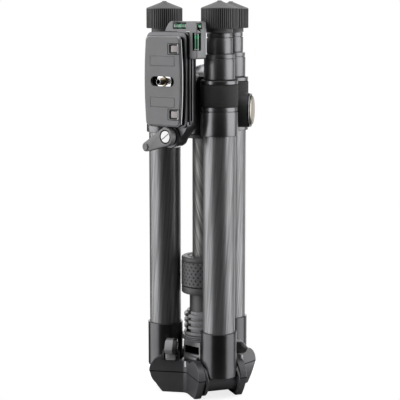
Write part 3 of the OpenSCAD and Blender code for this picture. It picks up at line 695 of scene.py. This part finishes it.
def leg_latch():
    """A rocking latch in the leg's frame: a wedge that leans out at its foot, over a shoe."""
    head = latch_layer("latch", [(-33.3, 0.4), (-33.0, 0), (-26.1, 0), (-25.9, 0.3)])
    shoe = bevelled(block("shoe", (23.6, 18.2, 31.9), (33.2, 27.0, 37.8)), 0.6, 2)
    neck = block("neck", (24.4, 18.8, 37.0), (32.6, 26.2, 39.0))
    return smoothed(joined("latch", head, shoe, neck), 35)


def latch_cheeks():
    """The latch's pin and dark sides, dark as painted shade: the one at the leg's middle is
    rounded, one is set in.
    """
    pin = rod("pin", (20.9, 20.6, 37.3), (36.7, 20.6, 37.3), 1.4)
    side_x = 23
    cheek = latch_layer("cheek", [(-25.8, 0.1), (-side_x, 0.1), (-22.7, 0.4)])

    def on_side(a, b):
        return all(p.y > 24 and p.z > 38.5 and abs(p.x - side_x) < 0.05 for p in (a, b))

    rounded_edges(cheek, on_side, 2.2, 5)
    outer = latch_layer("outer", [(-33.9, 1.5), (-33.7, 1.2), (-33.1, 1.2)])
    return smoothed(joined("cheek", cheek, outer, pin), 40)


def collar_ring(leg, angle, body):
    """The rubber collar's plain plastic ring at its upper end."""
    r, z = COLLAR_R[1] - 0.35, COLLAR_Z[1] + COLLAR_LEN[1] - COLLAR_RING_LEN
    ring = turned("ring", [
        (r - 0.5, z + 0.55), (r + 0.04, z + 0.75), (r + 0.04, z + 3.6), (r - 0.3, z + 4.1),
        (r - 2, z + 4.24), (r - 2, z + 0.55), (r - 0.5, z + 0.55)])
    worn(smoothed(ring, 30), COLLAR_GLOSS, body, along(angle, LEG_R),
         name=leg + "_collar_ring")


def legs():
    """Models each piece once, in a leg's frame, and puts a copy on each of the three legs."""
    shapes = {"foot": leg_foot(), "casting": leg_casting(), "latch": leg_latch()}
    for i in range(5):
        shapes["tube_%d" % (i + 1)] = leg_tube(i)
    for i in range(4):
        shapes["collar_%d" % (i + 1)] = leg_collar(i)
    cheek = latch_cheeks()
    finishes = {
        "foot": (FOOT, "foot_rubber"), "casting": (CASTING, "casting_metal"),
        "latch": (GREY, "latch_metal"), "collar_1": (COLLAR_GLOSS, "collar_plastic"),
        "collar_2": (GRIP, "grip_rubber"), "collar_3": (COLLAR, "collar_plastic"),
        "collar_4": (COLLAR, "collar_plastic")}
    for leg, angle in LEG_ANGLES.items():
        for part, shape in shapes.items():
            node = leg + "_" + part
            finish, slot = finishes.get(part, (CARBON, "carbon_tube"))
            lift = COLLAR_Z[int(part[-1]) - 1] if part.startswith("collar") else 0
            at_column = part in ("casting", "latch")
            in_leg = along(angle) if at_column else along(angle, LEG_R, 0, lift)
            body = frame["nodes"][node]["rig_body"]
            worn(duplicate(shape, node + "_piece"), finish, body, in_leg, [node])
            if part == "collar_2":
                collar_ring(leg, angle, body)
            if part == "latch":
                # The latch's dark sides and pin: painted shade
                worn(duplicate(cheek, node + "_cheeks"), CHEEK_SHADE, body, in_leg)
    for shape in (*shapes.values(), cheek):
        bpy.data.objects.remove(shape)


# Column and hub

def on_crease(a, b):
    """True for the upright edge in which two of the hub's outer faces meet."""
    on_circle = all(abs(p.xy.length - CREASE_R) < 0.2 for p in (a, b))
    return on_circle and (a - b).xy.length < 0.1


def lock_ring():
    """The thin ring under the collet, with its ridges."""
    bore, root, crest, top = 17.0, 19.9, 21.8, 54.0
    profile = [(bore, RIDGE_Z)]
    for k in range(RIDGES):
        z = RIDGE_Z + RIDGE_PITCH * k
        profile += [(crest - 0.4, z), (crest, z + 0.25), (crest, z + 0.95), (crest - 0.4, z + 1.2),
                    (root, z + 1.25)]
        if k < RIDGES - 1:
            profile += [(root, z + 1.6)]
    ring = turned("lock_ring_piece", profile + [(bore, top), (bore, RIDGE_Z)], 120)
    worn(smoothed(ring, 30), RING, "lock_ring",
         replaces=["column_lock_ring"])


def hub():
    """The hub's two halves, the collet and lock ring, and a mark and window on each lobe."""
    for node in ("hub_upper", "hub_lower"):
        half = rounded_edges(cad_copy(node), on_crease, 3.8, 6)
        worn(eased(half, 0.45, 3), HUB, "hub", replaces=[node])
    worn(eased(cad_copy("column_collet"), 0.35, 2), COLLET, "hub",
         replaces=["column_collet"])
    lock_ring()
    for k, angle in enumerate(LOBE_ANGLES):
        # The rounded crease lies at r 28.83, and the mark stands just proud of it
        mark = block("mark", (27.4, -0.85, 25.6), (29.15, 0.85, 31.0))
        worn(eased(mark, 0.2, 2), WHITE, "hub", along(angle),
             name="index_mark_%d" % (k + 1))
        window = block("window", (18.25, -10.4, 32.2), (19.4, 10.4, 48.6))
        cut(window, block("hole", (17, -8.9, WINDOW_LOW), (21, 8.9, WINDOW_HIGH)))
        sill_z = 31.5
        sill = block("sill", (18.2, -9.0, sill_z), (22.2, 9.0, 35.2))
        edit(sill)
        select_faces(sill, lambda centre, normal: normal.x > 0.9)
        bpy.ops.transform.resize(value=(1, 0.9, 0.6), center_override=(0, 0, sill_z * MM))
        done()
        worn(eased(joined("window", window, sill), 0.4, 3), GREY, "hub", along(angle),
             name="neck_window_%d" % (k + 1))
        # A black sheet behind each window's opening: painted shade inside the neck
        dark = block("dark", (18.05, -9.3, WINDOW_LOW - 0.4), (18.3, 9.3, WINDOW_HIGH + 0.4))
        worn(eased(dark, 0.1, 1), SHADE_BLACK, "hub", along(angle),
             name="window_shade_%d" % (k + 1))


def column():
    """The lower tube and its end cap, the carbon tube, and the twist lock with its band."""
    lower = turned("lower_column_piece", [
        (12.1, 8.2), (14.5, 8.2), (14.5, 100.6), (14.2, 101.2), (12.4, 101.2), (12.1, 101.0),
        (12.1, 8.2)])
    worn(smoothed(lower), COLUMN_METAL, "lower_column",
         replaces=["lower_column"])
    cap = turned("end_cap_piece", [
        (13.0, 0.0), (15.6, 0.0), (16.4, 0.8), (16.4, 7.6), (15.8, 8.2), (12.05, 8.2),
        (12.05, 13.2), (8.0, 13.2)])
    worn(eased(cap, 0.2), LOCK, "lower_column", replaces=["column_end_cap"])
    upper = tube_ring("upper_column_piece", 10.2, 11.8, 79.1, 243.1)
    bush = tube_ring("bush", 11.83, 12.02, 79.1, 93.1)
    worn(wrapped(smoothed(joined("upper_column_piece", upper, bush))), COLUMN_CARBON,
         "upper_column", replaces=["upper_column"])
    lock = turned("twist_lock_piece", [
        (14.6, 94.2), (20.9, 94.2), (21.9, 94.7), (22.2, 95.4), (22.2, 100.4), (22.0, 100.8),
        (21.4, 101.0), (20.6, 101.3), (19.8, 101.6), (19.8, 125.2), (21.3, 125.3), (22.0, 125.6),
        (22.2, 126.0), (22.2, 128.2), (21.9, 129.0), (21.0, 129.6), (16.6, 129.6), (16.2, 129.1),
        (15.2, 129.1), (14.8, 129.6), (12.4, 129.6), (11.9, 129.2), (11.9, 101.6), (14.6, 101.6),
        (14.6, 94.2)])
    worn(smoothed(lock, 32), LOCK, "twist_lock",
         replaces=["column_twist_lock"])
    band = turned("twist_band_piece", [
        (19.85, 101.6), (21.9, 101.6), (22.45, 102.2), (22.45, 124.6), (21.9, 125.2),
        (19.85, 125.2), (19.85, 101.6)])
    worn(wrapped(smoothed(band, 40)), BAND, "twist_lock",
         replaces=["twist_lock_band"])


# Head

def head():
    """The head's base, housing and ball, and the lock knob with its ring and cap."""
    base = turned("head_base_piece", [
        (8.0, 252.9), (8.0, 246.5), (19.4, 246.5), (20.0, 246.1), (20.0, 243.6), (19.5, 243.1),
        (10.1, 243.1), (10.1, 231.1)])
    worn(smoothed(base), LOCK, "upper_column", replaces=["head_base"])
    worn(eased(cad_copy("ball_housing"), 0.5, 3), CASTING, "housing",
         replaces=["ball_housing"])
    worn(smoothed(cad_copy("ball_and_stem"), 40), STEEL, "ball",
         replaces=["ball_and_stem"])
    grip = turned("lock_knob_piece", [
        (4.05, 31.0), (14.4, 31.0), (15.4, 31.5), (16.0, 32.6), (16.0, 41.7), (15.7, 42.3),
        (14.6, 42.4), (14.6, 43.7), (4.05, 43.7), (4.05, 31.0)])
    place = along_radius(KNOB_ANGLE, KNOB_Z)
    worn(smoothed(grip, 35), KNOB, "knob", place, ["lock_knob"])
    # The knob's ring is in the brighter edge metal: a painted highlight
    ring = turned("knob_ring", [
        (14.62, 42.9), (15.6, 42.9), (15.9, 43.1), (15.9, 43.7), (15.5, 44.0), (14.62, 44.0),
        (14.62, 42.9)])
    worn(smoothed(ring, 35), EDGE, "knob", place)
    cap = turned("knob_cap_piece", [
        (4.0, 10.0), (4.0, 43.75), (13.3, 43.75), (13.6, 44.6), (13.1, 45.4), (11.5, 46.0),
        (6.0, 46.2), (0, 46.2)])
    worn(smoothed(cap, 40), CAP, "knob", place, ["knob_bolt"])


def clamp_outline():
    """The clamp's front in x and z, from its left side on: round corners."""
    r, top, low = CLAMP_CORNER, CLAMP_TOP, CLAMP_TOP - CLAMP_H
    left, right = -CLAMP_HALF_W + r, CLAMP_HALF_W - r
    return (quarter(left, top - r, r, 180) + quarter(right, top - r, r, 90)
            + quarter(right, low + r, r, 0) + quarter(left, low + r, r, 270))


def clamp():
    """The clamp: a frame in three layers with black sheets between them as painted shade in the
    gaps, and the lever's boss.
    """
    body = stepped("clamp_piece", clamp_outline(), [
        (-37.3, 6.5), (-37.9, 4.2), (-39.6, 1.9), (-42.0, 0.7), (-45.6, 0.3), (-46.3, 0.5),
        (-46.6, 2.0), (-48.5, 2.0), (-48.7, 0.4), (-49.1, 0.0), (-50.5, 0.0), (-50.8, 0.4),
        (-51.0, 2.4), (-53.2, 2.4), (-53.3, 0.9), (-53.6, 0.5), (-54.3, 0.5), (-54.5, 0.8)])
    smoothed(body, 34)
    # Black sheets in the gaps between the layers: painted shade
    for k, (back, front, inset) in enumerate(((-46.3, -48.8, 1.1), (-50.8, -53.5, 1.2))):
        gap = stepped("clamp_gap_shade", clamp_outline(), [(back, inset), (front, inset)])
        worn(smoothed(gap, 30), SHADE_BLACK, "clamp",
             name="clamp_gap_%d" % (k + 1))
    x, z = LEVER_AT
    boss_r = 10.9
    angles = [math.radians(-a) for a in range(0, 360, 8)]
    boss = stepped("boss", [(x + boss_r * math.cos(a), z + boss_r * math.sin(a)) for a in angles],
                   [(-38.5, 2.5), (-40.0, 0.9), (-43.0, 0.2), (-53.6, 0.0), (-54.3, 0.6)])
    web = stepped("web", [
        (-7.2, 262), (24.0, 262), (24.0, 258.5), (21.0, 253.0), (15.5, 246.6), (11.5, 241.0),
        (6.0, 238.0), (-7.0, 246.0)],
        [(-39.5, 1.8), (-41.0, 0.6), (-44.0, 0.0), (-50.0, 0.0), (-52.4, 0.9)])
    worn(joined("clamp_piece", body, smoothed(boss, 34), smoothed(web, 60)), CLAMP, "clamp",
         replaces=["clamp_body"])


def plate_outline():
    """The plate's front in x and z: straight ends, bowed sides, round corners."""
    bow = (PLATE_W - PLATE_END_W) / 2
    arc = (PLATE_H * PLATE_H / 4 + bow * bow) / (2 * bow)
    half, across = PLATE_H / 2, 10

    def side(z):
        return PLATE_W / 2 - arc + math.sqrt(arc * arc - z * z)

    inner = side(half - PLATE_CORNER) - PLATE_CORNER
    points = quarter(inner, PLATE_Z + half - PLATE_CORNER, PLATE_CORNER, 90)
    for i in range(1, across):
        z = (half - PLATE_CORNER) * (1 - 2 * i / across)
        points.append((side(z), PLATE_Z + z))
    points += quarter(inner, PLATE_Z - half + PLATE_CORNER, PLATE_CORNER, 0)
    return points + [(-px, pz) for px, pz in reversed(points)]


def slot_cutter(length, width, y0, y1):
    """A cutter with round ends for the slot in the plate's middle."""
    r, steps = width / 2, 12
    points = []
    for sign in (1, -1):
        for i in range(steps + 1):
            a = math.radians(sign * 90 - 180 * i / steps)
            points.append((sign * (length - width) / 2 + r * math.cos(a),
                           PLATE_Z + r * math.sin(a)))
    return stepped("slot", points, [(y0, 0), (y1, 0)])


def plate():
    """The quick-release plate, its raised panels and rubber pads; its rim is a brighter metal as a
    painted highlight, and black sheets paint shade behind the rim and round the pads.
    """
    outline = plate_outline()
    face = stepped("quick_plate_piece", outline, [
        (-50.4, 4.0), (-58.9, 4.0), (-59.0, 1.0), (-59.4, 1.0), (-59.9, 1.5), (-60.2, 2.3)])
    # The rim is in the brighter edge metal: a painted highlight along the plate's edge
    rim = stepped("plate_rim", outline, [
        (-57.2, 0.5), (-57.5, 0.05), (-58.4, 0.0), (-59.0, 0.3), (-59.4, 0.95)])
    cut(rim, stepped("middle", outline, [(-62, 4.2), (-50, 4.2)]))
    worn(smoothed(rim, 34), EDGE, "plate")
    cut(face, slot_cutter(28, 8.8, -62, -48))
    for sign in (1, -1):
        z = PLATE_Z + sign * PAD_RISE
        hole = block("hole", (8.4, -62, z - 4.1), (19.3, -58.0, z + 4.1))
        cut(face, bevelled(hole, 1.2, 3))
    # A black band behind the rim: painted shade along the plate's edge
    gap = stepped("plate_gap_shade", outline, [(-54.8, 0.9), (-57.4, 0.9)])
    worn(smoothed(gap, 30), SHADE_BLACK, "plate")
    cut(face, block("recess", (-15, -57.2, PLATE_Z - 9.3), (15, -40, PLATE_Z + 9.3)))
    for sign in (1, -1):
        z = PLATE_Z + sign * PANEL_RISE
        panel = block("panel", (-14.5, -60.34, z - 4.3), (14.5, -59.6, z + 4.3))
        cut(face, panel, operation="UNION")
    worn(eased(face, 0.3, 2, 40), PLATE, "plate", replaces=["quick_plate"])
    for k, sign in enumerate((1, -1)):
        z = PLATE_Z + sign * PAD_RISE
        pad = bevelled(block("pad", (9.9, -59.7, z - 3.1), (18.6, -58.0, z + 3.1)), 0.7, 3)
        worn(smoothed(pad), PAD, "plate",
             replaces=["plate_pads"] if k == 0 else (), name="plate_pad_%d" % (k + 1))
        # A black frame round each pad and a black floor under it: painted shade in the pad's groove
        # and recess
        line = block("line", (6.5, -60.26, z - 5.1), (20.2, -59.9, z + 5.1))
        cut(line, block("inside", (7.1, -61, z - 4.6), (19.7, -59, z + 4.6)))
        worn(smoothed(line), SHADE_BLACK, "plate",
             name="pad_outline_shade_%d" % (k + 1))
        floor = block("floor", (7.7, -58.2, z - 4.1), (19.1, -57.9, z + 4.1))
        worn(eased(floor, 0.1, 1), SHADE_BLACK, "plate",
             name="pad_recess_shade_%d" % (k + 1))


def camera_screw():
    """The camera screw: a grooved thread with a bright tip, on its flange."""
    place = facing_front(0, -SCREW_SEAT, PLATE_Z)
    stud = [(3.9, 0.0), (3.9, 1.6), (2.75, 1.8)]
    z, thread_end, pitch = 1.9, 7.2, 1.0
    while z < thread_end:
        stud += [(3.15, z + 0.3), (3.15, z + 0.45), (2.65, z + 0.85), (2.65, z + 0.95)]
        z += pitch
    thread = turned("camera_thread", stud + [(2.7, 7.4), (2.3, 8.0), (0, 8.0)], 48)
    worn(smoothed(thread, 30), BRASS, "screw", place)
    tip = turned("camera_screw_tip", [
        (2.75, 7.0), (3.0, 7.2), (2.9, 7.6), (2.4, 8.0), (0, 8.0)], 48)
    worn(smoothed(tip, 30), CHROME, "screw", place)
    flange = turned("camera_screw_flange", [
        (3.2, 0.3), (3.9, 0.3), (4.3, 0.0), (8.4, 0.0), (9.0, -0.5), (9.0, -2.2), (8.6, -2.6),
        (0, -2.6)], 64)
    worn(smoothed(flange, 30), CHROME, "screw", place, ["camera_screw"])


def level_outline():
    """The bracket's front in x and z: an arm across with a slanted end, an arm down the side."""
    left, right, top, low, r = LEVEL_LEFT, LEVEL_RIGHT, LEVEL_TOP, LEVEL_LOW, LEVEL_CORNER
    inner, arm, chamfer = 24.8, top - LEVEL_ARM_H, 1.2
    points = [(left, arm), (left + 1.6, arm + 3.4), (left + 4.0, top - 2.2), (left + 7.0, top)]
    return points + quarter(right - r, top - r, r, 90) + [
        (right, low + chamfer), (right - chamfer, low), (inner + chamfer, low),
        (inner, low + chamfer), (inner, arm)]


def level_window(number, low, high):
    """A black lining inside one of the bracket's windows: painted shade."""
    worn(eased(block("floor", low, high), 0.1, 1), SHADE_BLACK, "clamp",
         name="level_window_" + number)


def level():
    """The level bracket on the clamp's corner, with its three vials."""
    top, z = LEVEL_TOP, LEVEL_TOP - LEVEL_ARM_H / 2
    bracket = stepped("level_bracket_piece", level_outline(), [
        (-38.3, 0.3), (-38.6, 0), (-50.3, 0), (-LEVEL_FRONT, 0.6)])
    # Each window: the notch's front, low and high corner in x and z, its back, and its lining of
    # painted shade
    windows = [
        (-52, (5.0, z - 2.4), (20.6, top + 1), -45.4, (5.2, z - 2.2), (20.4, top - 1.2)),
        (-52, (28.1, top - 25.9), (34.5, top - 10.3), -45.4, (28.3, top - 25.7),
         (32.2, top - 10.5)),
        (-50.2, (29.8, z - 2.6), (34.5, z + 2.6), -44.0, (30.0, z - 2.4), (32.2, z + 2.4))]
    for front, low, high, back, _, _ in windows:
        cut(bracket, block("notch", (low[0], front, low[1]), (high[0], back, high[1])))
    for k, (_, _, _, back, low, high) in enumerate(windows):
        level_window(str(k + 1), (low[0], back - 0.3, low[1]), (high[0], back + 0.1, high[1]))
    level_window("wall", (28.0, -50.3, top - 25.7), (28.4, -45.3, top - 10.5))
    worn(eased(bracket, 0.35, 2), LEVEL, "clamp",
         replaces=["level_bracket"])
    front, side = VIAL_SET_IN - LEVEL_FRONT, LEVEL_RIGHT - VIAL_SET_IN
    vials = [("across", (5.6, front, z), (20.0, front, z)),
             ("upright", (side, front, top - 25.4), (side, front, top - 10.8)),
             ("short", (side, -44.4, z), (side, -50.1, z))]
    for k, (name, start, end) in enumerate(vials):
        start, end = Vector(start), Vector(end)
        way = (end - start).normalized()
        tube = rod("vial_" + name, start + way, end - way, VIAL_R)
        worn(smoothed(tube), VIAL, "clamp",
             replaces=["level_vials"] if k == 0 else ())
        # The upright vial stands on end, so its bubble lies at the top
        mid = end - way * 3.2 if name == "upright" else (start + end) / 2
        bubble = rod("vial_bubble_" + name, mid - way * 1.5, mid + way * 1.5, VIAL_R + 0.03)
        worn(smoothed(bubble), BUBBLE, "clamp")
        for end_name, a, b in (("low", start, start + way), ("high", end - way, end)):
            cap = rod("vial_%s_%s" % (name, end_name), a, b, VIAL_R - 0.05)
            worn(eased(cap, 0.2), VIAL_END, "clamp")


def two_circles(c1, r1, c2, r2):
    """The outline round two circles and the straight lines that touch both."""
    dx, dz = c2[0] - c1[0], c2[1] - c1[1]
    toward, reach = math.degrees(math.atan2(dz, dx)), math.hypot(dx, dz)
    beta = math.degrees(math.acos((r1 - r2) / reach))
    points = []
    for (cx, cz), r, start, end in ((c1, r1, toward + beta, toward + 360 - beta),
                                    (c2, r2, toward - beta, toward + beta)):
        count = max(2, round((end - start) / 12))
        for i in range(count + 1):
            a = math.radians(start + (end - start) * i / count)
            points.append((cx + r * math.cos(a), cz + r * math.sin(a)))
    return points


def lever():
    """The release lever with its thumb pad, on a slotted bolt in a well with a black ring of
    painted shade.
    """
    x, z = LEVER_AT
    front = -LEVER_FRONT
    place = facing_front(x, front, z)
    arm = stepped("release_lever_piece", two_circles(LEVER_AT, 8.4, LEVER_PAD_AT, 4.3), [
        (front + 5.8, 0.4), (front + 5.4, 0), (front + 0.6, 0), (front + 0.15, 0.25),
        (front, 0.7)])
    cut(arm, rod("recess", (x, front - 1, z), (x, front + 2.08, z), 6.5, 64))
    cut(arm, rod("bore", (x, front, z), (x, front + 8, z), 3.1, 48))
    # A black ring round the bolt's head: painted shade in the well
    well = turned("lever_well_shade", [
        (5.7, -2.05), (6.45, -2.05), (6.45, -1.7), (5.7, -1.7), (5.7, -2.05)], 64)
    worn(smoothed(well, 30), SHADE_BLACK, "lever", place)
    pad = turned("pad", [(0.5, 0), (3.3, 0), (3.3, 0.6), (2.9, 1.0), (0, 1.0)], 40)
    pad.data.transform(facing_front(LEVER_PAD_AT[0], front, LEVER_PAD_AT[1]))
    worn(joined("release_lever_piece", smoothed(arm, 30), smoothed(pad, 30)), LEVER, "lever",
         replaces=["release_lever"])
    bolt = turned("lever_bolt_piece", [
        (3.0, -13.8), (3.0, -2.0), (5.4, -2.0), (5.6, -1.8), (5.6, -0.5), (5.3, -0.15), (4.8, 0),
        (0, 0)], 64)
    slot = block("slot", (-8, -0.5, -0.9), (8, 0.5, 1))
    slot.data.transform(Matrix.Rotation(math.radians(35), 4, "Z"))
    cut(bolt, slot)
    worn(smoothed(bolt, 30), BOLT, "clamp", place, ["lever_bolt"])


def steel_nodes():
    """The pins and screws inside keep their solids' shapes and get a finish."""
    for node in ("pivot_pins", "hub_screws"):
        for place in frame["nodes"][node].material_slots:
            place.material = STEEL


# Studio

def studio_floor():
    """A white disc that takes the shadow at the tripod's foot and fades into the background."""
    floor = turned("studio_floor", [(105, 0), (103, -2), (0, -2)], 128)
    paint = Finish("floor_white", (0.35, 0.35, 0.35), 0.9)
    paper = paint.noise(3.0, 2.0)
    paint.set(Base_Color=paint.shade(paper, (0.34, 0.34, 0.34), (0.36, 0.36, 0.36)))
    rays = paint.node("ShaderNodeLightPath", output="Is Camera Ray")
    x, y, _ = paint.axes("Object")
    far = paint.spread((x ** 2 + y ** 2).op("SQRT"), 0.04, 0.1, 0.8, 1.0)
    paint.set(Emission_Color=paint.shade(rays * far, (0, 0, 0), (1, 1, 1)), Emission_Strength=1.0)
    floor.data.materials.append(paint.material)


def studio_world():
    """White to the camera, and to reflections and glass where they face what is behind."""
    world = bpy.data.worlds.new("studio_light")
    scene.world = world
    world.use_nodes = True
    tree = world.node_tree
    tree.nodes.clear()

    def add(kind, inputs=None, operation=None):
        node = tree.nodes.new("ShaderNode" + kind)
        if operation:
            node.operation = operation
        for key, value in (inputs or {}).items():
            node.inputs[key].default_value = value
        return node

    white, behind = (1, 1, 1, 1), math.radians(CAMERA_AZIMUTH + 160)
    seen, lit = add("Background", {0: white, 1: 1.0}), add("Background", {0: white, 1: 0.03})
    path, mix, out, where = (add(kind) for kind in (
        "LightPath", "MixShader", "OutputWorld", "TexCoord"))
    facing = add("VectorMath", {1: (math.cos(behind), math.sin(behind), -0.1)}, "DOT_PRODUCT")
    soft = add("MapRange", {1: 0.84, 2: 0.93})
    rays, masked, total = (add("Math", None, kind) for kind in ("ADD", "MULTIPLY", "MAXIMUM"))
    for source, output, node, socket in (
            (where, "Generated", facing, 0), (facing, "Value", soft, 0),
            (path, "Is Glossy Ray", rays, 0), (path, "Is Transmission Ray", rays, 1),
            (rays, 0, masked, 0), (soft, 0, masked, 1), (masked, 0, total, 0),
            (path, "Is Camera Ray", total, 1), (total, 0, mix, 0), (lit, 0, mix, 1),
            (seen, 0, mix, 2), (mix, 0, out, 0)):
        tree.links.new(source.outputs[output], node.inputs[socket])


def studio_lights():
    """Two tall boxes at the sides, one above and one behind, all aimed at the middle."""
    middle = Vector((0, 0, 0.2))
    # Name, azimuth from the camera, height over the middle, distance, width, height and power
    for name, turn, lift, distance, wide, tall, power in (
            ("left_box", -84, 0.15, 1.5, 2.2, 1.9, 2.6),
            ("right_box", 80, 0.15, 1.5, 1.8, 1.9, 2.9),
            ("top_box", 0, 1.5, 0.2, 2.6, 2.0, 1.5),
            ("back_box", 180, 0.15, 1.5, 0.7, 1.9, 2.2)):
        lamp = bpy.data.lights.new(name, "AREA")
        lamp.shape, lamp.size, lamp.size_y = "RECTANGLE", wide, tall
        lamp.energy = power * wide * tall * math.pi
        box = bpy.data.objects.new(name, lamp)
        box.visible_camera = False
        collection.objects.link(box)
        a = math.radians(CAMERA_AZIMUTH + turn)
        box.location = middle + Vector((math.cos(a) * distance, math.sin(a) * distance, lift))
        box.rotation_mode = "QUATERNION"
        box.rotation_quaternion = (middle - box.location).to_track_quat("-Z", "Y")


def studio_camera():
    """The camera that was fitted to the photograph."""
    camera = bpy.data.cameras.new("camera")
    camera.sensor_width, camera.lens = 36, 115.2
    view = bpy.data.objects.new("camera", camera)
    collection.objects.link(view)
    view.location = (0.77259, -0.92491, 0.3556)
    view.rotation_mode = "QUATERNION"
    view.rotation_quaternion = Vector((-0.637476, 0.757294, -0.141882)).to_track_quat("-Z", "Y")
    scene.camera = view
    scene.view_settings.view_transform = "Standard"


legs()
hub()
column()
head()
clamp()
plate()
camera_screw()
level()
lever()
steel_nodes()
studio_floor()
studio_world()
studio_lights()
studio_camera()
bpy.context.view_layer.update()
